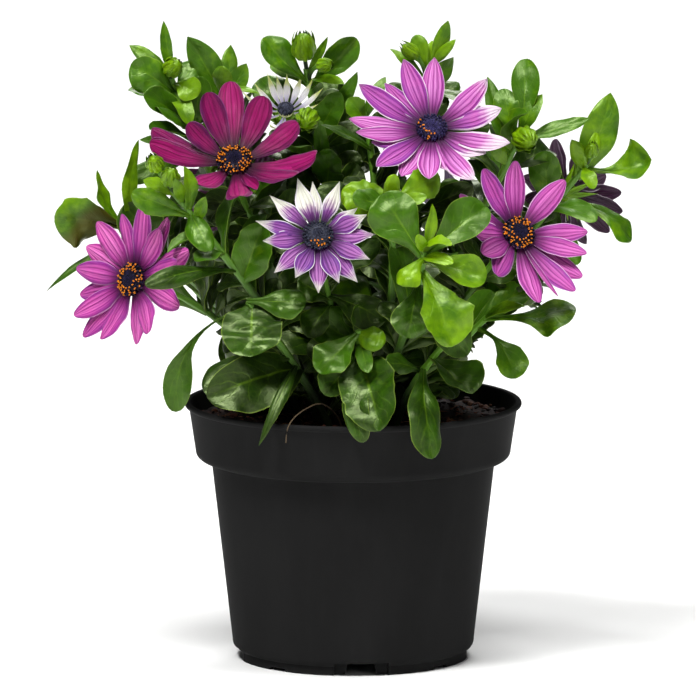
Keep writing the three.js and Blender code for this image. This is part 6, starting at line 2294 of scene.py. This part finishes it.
# a tone of 1 or more in these rows is painted shade for leaves deep in the plant
SHOOTS = (
    Shoot(
        "shoot_left_front", tone=0.4,
        stem=(ground(-12, -14), front(-16, 118, -22), front(-45, 150, -42), front(-69, 181, -44)),
        leaves=(
            Leaf(-60, 174, -54, 157.5, -54, 9.5, 0.14, 35, Outline.OVAL, turn=-20, tone=0.5),
            Leaf(-58, 171, -84, 180, -47, 10, 0.12, 10, turn=10),
            Leaf(-46, 158, -59.5, 154, -54, 10, 0.25, 60),
            Leaf(-41, 147, -34, 168, -40, 15, 0.1, 20, Outline.OVAL),
            Leaf(-44, 151, -77, 145.5, -70, 9, 0.14, 50, tone=0.95),
            Leaf(-61, 174, -63, 190, -46, 6.5, 0.1, 20, Outline.LANCE, turn=20),
            Leaf(-63, 177, -69.5, 189.5, -52, 5, 0.1, 20, Outline.LANCE),
            Leaf(-67, 180, -79, 185.5, -47, 6, 0.1, 30, Outline.LANCE),
            Leaf(-58, 170, -56, 178.5, -50, 5, 0.1, 20, Outline.LANCE),
            Leaf(-55, 164, -71, 157.5, -50, 5, 0.15, 70, Outline.LANCE),
        ),
        buds=(Bud(-66, 179, -69.5, 185.5, -51, 3.6), Bud(-67, 180, -75, 190.5, -53, 3.2),),
        fill=Fill(3, 0.34, 0.8, 34, -36),
    ),
    Shoot(
        "shoot_left_low", tone=0.8,
        stem=(ground(-17, -7), front(-21, 112, -6)),
        bloom="bloom_left",
        fill=Fill(3, 0.2, 0.75, 38, -24),
    ),
    Shoot(
        "shoot_left_middle", tone=0.75,
        stem=(ground(-21, 3), front(-28, 118, 6), front(-62, 150, 4), front(-91, 169, -6)),
        leaves=(
            Leaf(-88, 167, -114.5, 169, -14, 18.5, 0.12, -20, sweep=0.2, tone=0.9, olive=0.85),
            Leaf(-90, 168, -97, 189, -8, 8, -0.2, 10, Outline.LANCE, turn=60, sweep=-0.12, tone=0.25),
            Leaf(-80, 162, -116.8, 141.5, -12, 5, 0.22, 70, Outline.LANCE),
            Leaf(-68, 156, -88, 176, -8, 17, 0.1, 15),
            Leaf(-84, 165, -81.5, 201, -2, 7, 0.12, 20, Outline.LANCE, turn=30, sweep=-0.3, tone=0.2),
        ),
        fill=Fill(3, 0.3, 0.85, 36, -16),
    ),
    Shoot(
        "shoot_left_back", tone=0.5,
        stem=(ground(-14, 10), front(-20, 120, 15), front(-52, 175, 12), front(-70, 225, 8)),
        leaves=(
            Leaf(-70, 224, -72.8, 247.3, 8, 4.5, 0.05, 10, Outline.LANCE),
            Leaf(-68, 218, -84, 231, 2, 14, 0.18, 40, turn=-10),
            Leaf(-70, 224, -86, 238, 12, 6.5, 0.15, 50, Outline.LANCE),
            Leaf(-66, 214, -86.5, 221, 6, 9, 0.15, 45),
            Leaf(-69, 222, -59.5, 218.5, 0, 10, 0.3, 45),
            Leaf(-68, 219, -62.5, 207.5, -4, 7, 0.14, 20, Outline.OVAL),
            Leaf(-64, 208, -81, 218, -6, 11, 0.12, 30),
            Leaf(-62, 203, -75.5, 213, -10, 10, 0.15, 45),
            Leaf(-61, 200, -77.5, 206, -14, 9, 0.12, 50),
            Leaf(-58, 194, -86.5, 188, -4, 9, 0.15, 50),
            Leaf(-59, 196, -82, 201.5, 3, 6, 0.1, 30, Outline.LANCE),
            Leaf(-62, 203, -59, 226, 6, 11, 0.1, 25),
            Leaf(-59, 197, -50, 212, 4, 9, 0.12, 30),
        ),
        free=(
            Leaf(-68, 219, -60, 233, 14, 10, 0.1, 20, tone=0.5),
        ),
        buds=(Bud(-70, 224, -69.5, 229, 4, 3.6),),
        fill=Fill(3, 0.3, 0.85, 38, -10),
    ),
    Shoot(
        "shoot_magenta", tone=0.85,
        stem=(ground(-7, -4), front(-10, 125, -3)),
        bloom="bloom_magenta",
        free=(
            Leaf(-14, 158, -23, 182, -12, 13, 0.1, 15, tone=1.05),
        ),
        fill=Fill(3, 0.22, 0.72, 38, -30),
    ),
    Shoot(
        "shoot_top_left", tone=0.55,
        stem=(ground(-6, 12), front(-8, 125, 20), front(-38, 182, 24), front(-51, 222, 12)),
        leaves=(
            Leaf(-50, 215, -63.5, 241.5, 12, 12.5, 0.08, 15, Outline.LANCE),
            Leaf(-51, 218, -50, 230, 4, 8, 0.1, 20),
            Leaf(-49, 219, -46, 238.5, 16, 7, 0.08, 10, Outline.LANCE),
            Leaf(-49, 217, -41, 231, 14, 8, 0.05, 20, Outline.LANCE),
            Leaf(-50, 219, -36, 219.5, 8, 5, 0.2, 70, Outline.LANCE),
        ),
        fill=Fill(3, 0.3, 0.9, 36, -6),
    ),
    Shoot(
        "shoot_top_middle", tone=0.5,
        stem=(ground(1, 11), front(3, 130, 16), front(-10, 178, 22), front(-18, 229, 12)),
        branches=(Branch(-13, 202, "bloom_half_open"),),
        leaves=(
            Leaf(-18, 224, -34.5, 241, 10, 12, 0.1, 30, turn=-20, sweep=-0.1),
            Leaf(-17, 221, -33.5, 231.5, 18, 8, 0.15, 40),
            Leaf(-17, 226, -9.5, 241, 12, 3.5, 0, 10, Outline.LANCE),
            Leaf(-16, 221, 1.5, 240.5, 10, 12, 0.12, 25, turn=20),
            Leaf(-17, 224, -4.5, 221.5, 2, 5, 0.2, 60, Outline.LANCE),
            Leaf(-13, 210, 1.5, 227.5, 6, 6, 0.1, 20, Outline.LANCE, sweep=0.18),
            Leaf(-11, 204, -4, 219, 4, 11, 0.1, 20, Outline.OVAL),
            Leaf(-7, 190, -13.5, 206, -4, 6, 0.05, 15, Outline.OVAL),
            Leaf(-5, 184, -9, 196.5, -4, 12, 0.05, 15, Outline.OVAL),
        ),
        free=(
            Leaf(-9, 192, -27, 200, 18, 14, 0.1, 10, tone=1.0),
            Leaf(-8, 180, -25, 187, 12, 14, 0.1, 10, tone=1.05),
            Leaf(-14, 210, -38, 223, 27, 14, 0.1, 20, tone=0.75),
            Leaf(-15, 208, -9, 226, 25, 11, 0.1, 20, tone=0.85),
            Leaf(-9, 196, -21, 212, 20, 12, 0.1, 20, tone=1.0),
        ),
        buds=(Bud(-18, 228, -19, 236.5, 8, 4.6), Bud(-17, 222, -11.5, 230, 2, 2.8),
              Bud(-12, 201, -17.5, 209, -9, 4.4)),
        fill=Fill(3, 0.3, 0.8, 36, -6),
    ),
    Shoot(
        "shoot_middle", tone=0.9,
        stem=(ground(4, 4), front(6, 130, 4), front(13, 175, 2), front(4, 212, 0)),
        leaves=(
            Leaf(5, 209, -2.5, 217, -2, 8, 0.1, 30),
            Leaf(7, 197, -12.5, 206, -10, 6, 0.15, 45, Outline.LANCE),
            Leaf(5, 210, 12, 226, 2, 6, 0.1, 20, Outline.LANCE),
        ),
        free=(
            Leaf(11, 172, -14, 181, -8, 14, 0.1, 15, tone=1.05),
        ),
        fill=Fill(3, 0.25, 0.85, 38, -16),
    ),
    Shoot(
        "shoot_lilac", tone=0.85,
        stem=(ground(9, -3), front(12, 125, -5)),
        bloom="bloom_lilac",
        fill=Fill(3, 0.22, 0.7, 38, -30),
    ),
    Shoot(
        "shoot_centre", tone=0.25,
        stem=(ground(9, -15), front(13, 118, -24), front(17, 148, -46), front(14, 177, -50)),
        leaves=(
            Leaf(13, 175, -4.5, 181, -50, 14, 0.15, 20, Outline.OVAL, turn=-20),
            Leaf(13, 174, -0.5, 177.5, -57, 10, 0.1, 35, Outline.OVAL, tone=0.42),
            Leaf(14.5, 176, 15.5, 187, -53, 6, 0.1, 0, Outline.OVAL),
            Leaf(15, 175, 31, 190.5, -48, 12, 0.12, 25, turn=10),
            Leaf(15, 174, 27.5, 178.5, -58, 6, 0.15, 30, Outline.OVAL),
        ),
        fill=Fill(2, 0.3, 0.7, 34, -42),
    ),
    Shoot(
        "shoot_top_right", tone=0.45,
        stem=(ground(11, 7), front(12, 130, 10), front(14, 190, 6), front(30, 230, 8)),
        leaves=(
            Leaf(29, 228, 24, 242, 8, 7, 0.05, 10, turn=-20),
            Leaf(27, 225, 14.5, 237, 8, 4.5, 0.1, 20, Outline.LANCE),
            Leaf(30, 229, 36.5, 247.5, 6, 6, 0.05, 15, Outline.LANCE, turn=20),
            Leaf(30, 229, 38.8, 240, 2, 4.5, 0.1, 20, Outline.LANCE),
            Leaf(28, 219, 39.5, 232.5, 7, 8.5, 0.1, 20, Outline.LANCE, turn=20),
            Leaf(30, 229, 30.5, 240, 12, 5, 0.05, 10, Outline.LANCE),
        ),
        free=(
            Leaf(29, 216, 41, 224, 14, 8, 0.1, 20, tone=0.7),
            Leaf(22, 198, 52, 207, 18, 12, 0.1, 15, tone=1.0),
        ),
        buds=(Bud(26, 221, 22.5, 235, 4, 2.8),),
        fill=Fill(3, 0.3, 0.9, 36, -4),
    ),
    Shoot(
        "shoot_right_upper", tone=0.55,
        stem=(ground(14, 1), front(20, 128, 3), front(48, 165, -4), front(64, 203, -8)),
        leaves=(
            Leaf(60, 195, 52, 226, 0, 8, 0.08, 15, Outline.LANCE, sweep=-0.08),
            Leaf(62, 199, 57, 221, -6, 10, 0.1, 20),
            Leaf(63, 201, 65, 233, -2, 11, 0.08, 20, sweep=0.1),
            Leaf(64, 202, 72.5, 219, -6, 8, 0.15, 40, Outline.LANCE),
            Leaf(61, 197, 70.5, 209, -18, 8, 0.35, 60, Outline.OVAL),
            Leaf(64, 201, 90.5, 209.5, -8, 7, -0.06, 60, Outline.LANCE),
            Leaf(58, 191, 52, 199.5, -14, 6, 0.1, 20, Outline.LANCE),
            Leaf(45, 172, 33.5, 184, -12, 10, 0.1, 30),
        ),
        free=(
            Leaf(58, 188, 77, 199, 10, 14, 0.1, 20, tone=0.95),
            Leaf(52, 180, 66, 186, 8, 12, 0.1, 20, tone=1.0),
        ),
        buds=(Bud(62, 199, 65.5, 201.5, -15, 4.8),),
        fill=Fill(3, 0.3, 0.85, 36, -14),
    ),
    Shoot(
        "shoot_right_top", tone=0.4,
        stem=(ground(17, 8), front(25, 122, 12), front(64, 158, 14), front(90, 192, 2)),
        branches=(Branch(66, 164, "bloom_turned_away"),),
        leaves=(
            Leaf(86, 186, 99, 219.5, 6, 14, 0.08, 20, Outline.LANCE, turn=20, sweep=0.08),
            Leaf(89, 190, 114.2, 193.5, -4, 16, -0.25, 60, Outline.SPOON),
            Leaf(90, 191, 91.5, 205, 0, 5, 0.1, 20, Outline.LANCE),
            Leaf(89, 190, 86, 201, -6, 7, 0.1, 20, Outline.LANCE),
            Leaf(89, 190, 92.5, 182.5, -10, 6, 0.25, 10),
            Leaf(80, 178, 109, 164, 2, 15, 0.22, 50, Outline.SPOON),
            Leaf(74, 170, 92.5, 171.5, -16, 10, 0.2, 50),
            Leaf(76, 173, 74, 196, -2, 13, 0.05, 15),
            Leaf(68, 164, 86, 155, -14, 12, 0.12, 50),
        ),
        buds=(Bud(89.5, 191, 91.5, 196.5, -2, 2.6),),
        fill=Fill(3, 0.3, 0.65, 36, -14),
    ),
    Shoot(
        "shoot_right", tone=0.8,
        stem=(ground(13, -10), front(20, 112, -13)),
        bloom="bloom_right",
        leaves=(
            Leaf(52, 155, 84, 143.8, -26, 5, 0.1, 50, Outline.LANCE),
            Leaf(45, 148, 62, 151, -30, 10, 0.1, 30),
        ),
        fill=Fill(3, 0.25, 0.75, 34, -32),
    ),
    Shoot(
        "shoot_right_low", tone=0.45,
        stem=(ground(19, -6), front(27, 106, -13), front(37, 119, -24), front(51, 132, -34)),
        leaves=(
            Leaf(50, 131, 84.5, 132.5, -46, 21, -0.02, 45, Outline.SPOON),
            Leaf(47, 128, 62, 108.5, -46, 12, 0.2, 20, Outline.SPOON, turn=30, sweep=-0.12),
            Leaf(47, 129, 67, 145, -28, 11, 0.1, 30),
            Leaf(44, 127, 57, 148, -24, 9, 0.1, 30),
            Leaf(51, 132, 65, 137, -44, 5, 0.2, 30, Outline.LANCE),
            Leaf(43, 126, 51, 142, -44, 8, 0.1, 40),
        ),
        fill=Fill(2, 0.35, 0.8, 30, -34),
    ),
    Shoot(
        "shoot_rosette", tone=0.55,
        stem=(ground(5, -19), front(12, 108, -32), front(24, 132, -61), front(27, 157, -63)),
        leaves=(
            Leaf(27, 155, 11, 179.5, -60, 20, 0.08, 10, turn=-10, tone=0.5),
            Leaf(27, 156, 50.5, 175.5, -58, 16, 0.1, 20, turn=20, tone=0.6),
            Leaf(27, 157, 30.8, 175, -65, 5, 0.05, 0, Outline.LANCE, turn=20, tone=0.04),
            Leaf(27, 157, 37, 160.5, -73, 6.5, 0.25, 40, Outline.OVAL, turn=20, tone=0.04),
            Leaf(27, 157, 24.3, 163.5, -67, 4, 0.1, 10, Outline.OVAL, tone=0.04),
            Leaf(27, 155, 17, 145, -72, 11, 0.1, 20, turn=-20, tone=0.14),
            Leaf(27, 154, 37.5, 153, -74, 5, 0.2, 40, Outline.OVAL, tone=0.04),
            Leaf(27, 153, 50.3, 146.5, -67, 14, 0.14, 40, turn=10, tone=0.2),
            Leaf(26, 150, 38, 121, -77, 20, 0.16, 25, turn=10, tone=0.26),
            Leaf(25, 145, 20.5, 124, -66, 16, 0.12, 10, turn=-10, tone=0.8),
            Leaf(24, 138, 43, 117.5, -64, 13, 0.15, 20, turn=20, tone=0.75),
        ),
        fill=Fill(2, 0.25, 0.7, 34, -50),
    ),
    Shoot(
        "shoot_white", tone=1,
        stem=(ground(-1, -13), front(-2, 122, -20)),
        bloom="bloom_white",
        leaves=(
            Leaf(-4, 138, -17.5, 124, -47, 12, 0.1, 20, turn=-20),
            Leaf(-4, 142, 12, 131, -46, 14, 0.1, 30),
            Leaf(-6, 148, 10, 161.5, -42, 9, 0.1, 20),
            Leaf(-4, 140, -20, 146, -40, 14, 0.1, 20),
        ),
        fill=Fill(3, 0.22, 0.7, 36, -40),
    ),
    Shoot(
        "shoot_skirt_left", tone=0.85,
        stem=(ground(-7, -20), front(-13, 101, -30), front(-24, 117, -42), front(-40, 138, -46)),
        leaves=(
            Leaf(-39, 136, -39, 117, -62, 24, 0.08, 20, Outline.OVAL, tone=0.9),
            Leaf(-40, 138, -18, 137, -54, 14, 0.1, 40),
            Leaf(-20, 113, -54, 102, -66, 22.5, 0.1, 30, Outline.OVAL, tone=1.15),
            Leaf(-24, 117, -56.8, 105, -56, 18, 0.1, 30),
            Leaf(-21, 113, -35.3, 82.5, -63, 5, 0.42, 10, Outline.LANCE),
            Leaf(-39, 136, -67.5, 95.3, -48, 11, 0.1, 15, Outline.STALKED, sweep=0.42),
        ),
        free=(
            Leaf(-26, 122, -52, 127, -30, 9, 0.12, 40, tone=1.1),
        ),
        fill=Fill(2, 0.3, 0.9, 32, -36),
    ),
    Shoot(
        "shoot_skirt_middle", tone=0.75,
        stem=(ground(0, -25), front(2, 102, -36), front(4, 114, -46), front(2, 127, -49)),
        leaves=(
            Leaf(2, 126, -13, 111, -61, 16, 0.1, 30, turn=-10),
            Leaf(2, 118, -11, 102.5, -58, 12, 0.12, 30),
            Leaf(2, 108, 1.5, 85, -73, 11, 0.35, 20, turn=-10),
            Leaf(3, 116, 10, 88.5, -73, 22.5, 0.22, 30, Outline.OVAL),
            Leaf(2, 122, 5.5, 111, -64, 6, 0.1, 20, Outline.OVAL),
            Leaf(2, 126, 11, 121, -56, 10, 0.1, 20, Outline.OVAL),
        ),
        fill=Fill(2, 0.4, 0.9, 28, -42),
    ),
    Shoot(
        "shoot_skirt_right", tone=0.75,
        stem=(ground(14, -22), front(18, 101, -32), front(26, 111, -44), front(34, 121, -48)),
        leaves=(
            Leaf(27, 112, 31, 78, -75, 15, 0.36, 20, turn=10, sweep=0.12),
            Leaf(26, 111, 13.5, 115, -58, 9, 0.12, 40),
            Leaf(30, 116, 45, 102, -61, 17.5, 0.12, 35, turn=20),
        ),
        fill=Fill(2, 0.4, 0.9, 30, -40),
    ),
    Shoot(
        "shoot_back_left", tone=0.7,
        stem=(ground(-13, 18), place(-20, 28, 118)),
        bloom="bloom_back_left",
        fill=Fill(7, 0.15, 0.85, 38, -90),
    ),
    Shoot(
        "shoot_back_middle", tone=0.65,
        stem=(ground(-2, 20), place(-3, 30, 120), place(2, 46, 160), place(-2, 50, 205)),
        fill=Fill(9, 0.15, 1, 40, -90),
    ),
    Shoot(
        "shoot_back_right", tone=0.7,
        stem=(ground(12, 18), place(20, 28, 116)),
        bloom="bloom_back_right",
        fill=Fill(6, 0.2, 0.85, 38, -90),
    ),
    Shoot(
        "shoot_back_low_left", tone=0.75,
        stem=(ground(-9, 27), place(-14, 38, 108), place(-26, 52, 120), place(-38, 62, 132)),
        fill=Fill(6, 0.12, 1, 42, -90),
    ),
    Shoot(
        "shoot_back_low_right", tone=0.75,
        stem=(ground(7, 28), place(10, 40, 108), place(22, 54, 118), place(34, 62, 128)),
        fill=Fill(6, 0.12, 1, 42, -90),
    ),
    Shoot(
        "shoot_side_left", tone=0.65,
        stem=(ground(-23, 12), place(-34, 18, 116), place(-58, 30, 134), place(-76, 38, 154)),
        fill=Fill(8, 0.12, 1, 40, -90),
    ),
    Shoot(
        "shoot_side_right", tone=0.65,
        stem=(ground(22, 13), place(34, 18, 114), place(58, 30, 130), place(76, 40, 146)),
        fill=Fill(8, 0.12, 1, 40, -90),
    ),
)


# ---------------- plant and studio


@dataclass(frozen=True)
class Plant:
    """The whole plant in its pot."""

    patterns: Patterns
    blooms: tuple[Bloom, ...] = BLOOMS
    shoots: tuple[Shoot, ...] = SHOOTS
    pot: Pot = field(default_factory=Pot)
    crown: Crown = field(default_factory=Crown)

    def build(self, frame: dict[str, Any]) -> None:
        """Models every piece in place of its node.

        Args:
            frame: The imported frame.
        """
        hand_over(self.pot.build(), "pot_plastic", "pot")
        hand_over(Soil(self.pot).build(self.patterns), "peat", "soil")
        hand_over(Strand().build(self.patterns), "dry_stalk", "dry_strand")
        slots = {row["node"]: row["material_slot"] for row in frame["record"]["subparts"]}
        for bloom in self.blooms:
            for part, build in (("petals", bloom.build_petals), ("disc", bloom.build_disc)):
                node = f"{bloom.name}_{part}"
                hand_over(build(self.patterns), slots[node], node)
        finishes = (LeafFinish().material(), StemFinish().material())
        neighbours = Neighbours(frame["nodes"].values(), self.blooms)
        blooms = {bloom.name: bloom for bloom in self.blooms}
        for index, shoot in enumerate(self.shoots):
            piece = shoot.build(frame, blooms, self.patterns, self.crown, neighbours,
                                FIRST_SEED + SEED_STEP * index, finishes)
            hand_over(piece, slots[shoot.name], shoot.name)


@dataclass(frozen=True)
class Lamp:
    """A soft square light: its place in metres, its width, its power and what it points at."""

    name: str
    spot: tuple[float, float, float]
    width: float
    power: float
    aim: tuple[float, float, float] = (0.0, 0.0, 0.13)

    def add(self) -> None:
        """Adds the light."""
        deselect_all()
        bpy.ops.object.light_add(type="AREA", location=self.spot)
        light = bpy.context.object
        light.name = self.name
        way = Vector(self.aim) - Vector(self.spot)
        light.rotation_euler = way.to_track_quat("-Z", "Y").to_euler()
        light.data.size = self.width
        light.data.energy = self.power


@dataclass(frozen=True)
class Studio:
    """A pale floor, soft light and a long lens a little above the plant."""

    target: Point = field(default_factory=lambda: place(-2.0, 0, 120.2))
    distance: float = 4000.0
    elevation: float = 8.9
    view_width: float = 268.1
    sensor: float = 36.0
    floor_size: float = 60.0
    sky: float = 0.06
    finish: FloorFinish = field(default_factory=FloorFinish)
    lamps: tuple[Lamp, ...] = (
        Lamp("key", (-0.85, -1.35, 2.8), 0.8, 96.0),
        Lamp("fill", (1.4, -2.3, 1.2), 1.1, 6.5),
        Lamp("back", (0.5, 1.9, 2.2), 1.2, 26.0),
        Lamp("top", (0.5, -0.7, 2.8), 0.7, 40.0),
        Lamp("backdrop", (0.0, 5.5, 4.5), 4.0, 230.0, aim=(0.0, 6.0, 0.0)),
    )

    def build(self) -> None:
        """Adds the camera, the lights, the sky and the floor."""
        self._add_camera()
        for lamp in self.lamps:
            lamp.add()
        world = bpy.data.worlds.new("sky")
        world.use_nodes = True
        background = world.node_tree.nodes["Background"]
        background.inputs["Color"].default_value = (1.0, 1.0, 1.0, 1.0)
        background.inputs["Strength"].default_value = self.sky
        bpy.context.scene.world = world
        bpy.context.scene.view_settings.view_transform = "Standard"
        deselect_all()
        bpy.ops.mesh.primitive_plane_add(size=self.floor_size)
        floor = bpy.context.object
        floor.name = "floor"
        floor.data.materials.append(self.finish.material())

    def _add_camera(self) -> None:
        """Adds the camera, looking at the plant's middle."""
        rise = math.radians(self.elevation)
        middle = Vector(self.target * MM)
        back = Vector((0, -math.cos(rise), math.sin(rise))) * self.distance * MM
        deselect_all()
        bpy.ops.object.camera_add(location=middle + back)
        camera = bpy.context.object
        camera.rotation_euler = (-back).to_track_quat("-Z", "Y").to_euler()
        camera.data.sensor_width = self.sensor
        camera.data.lens = self.sensor * self.distance / self.view_width
        camera.data.clip_end = 200
        bpy.context.scene.camera = camera


def main() -> None:
    """Builds the plant around the frame, then the studio."""
    logging.basicConfig(level=logging.INFO, format="%(message)s")
    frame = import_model()
    Plant(Patterns.cut()).build(frame)
    Studio().build()
    bpy.context.view_layer.update()


if __name__ == "__main__":
    main()
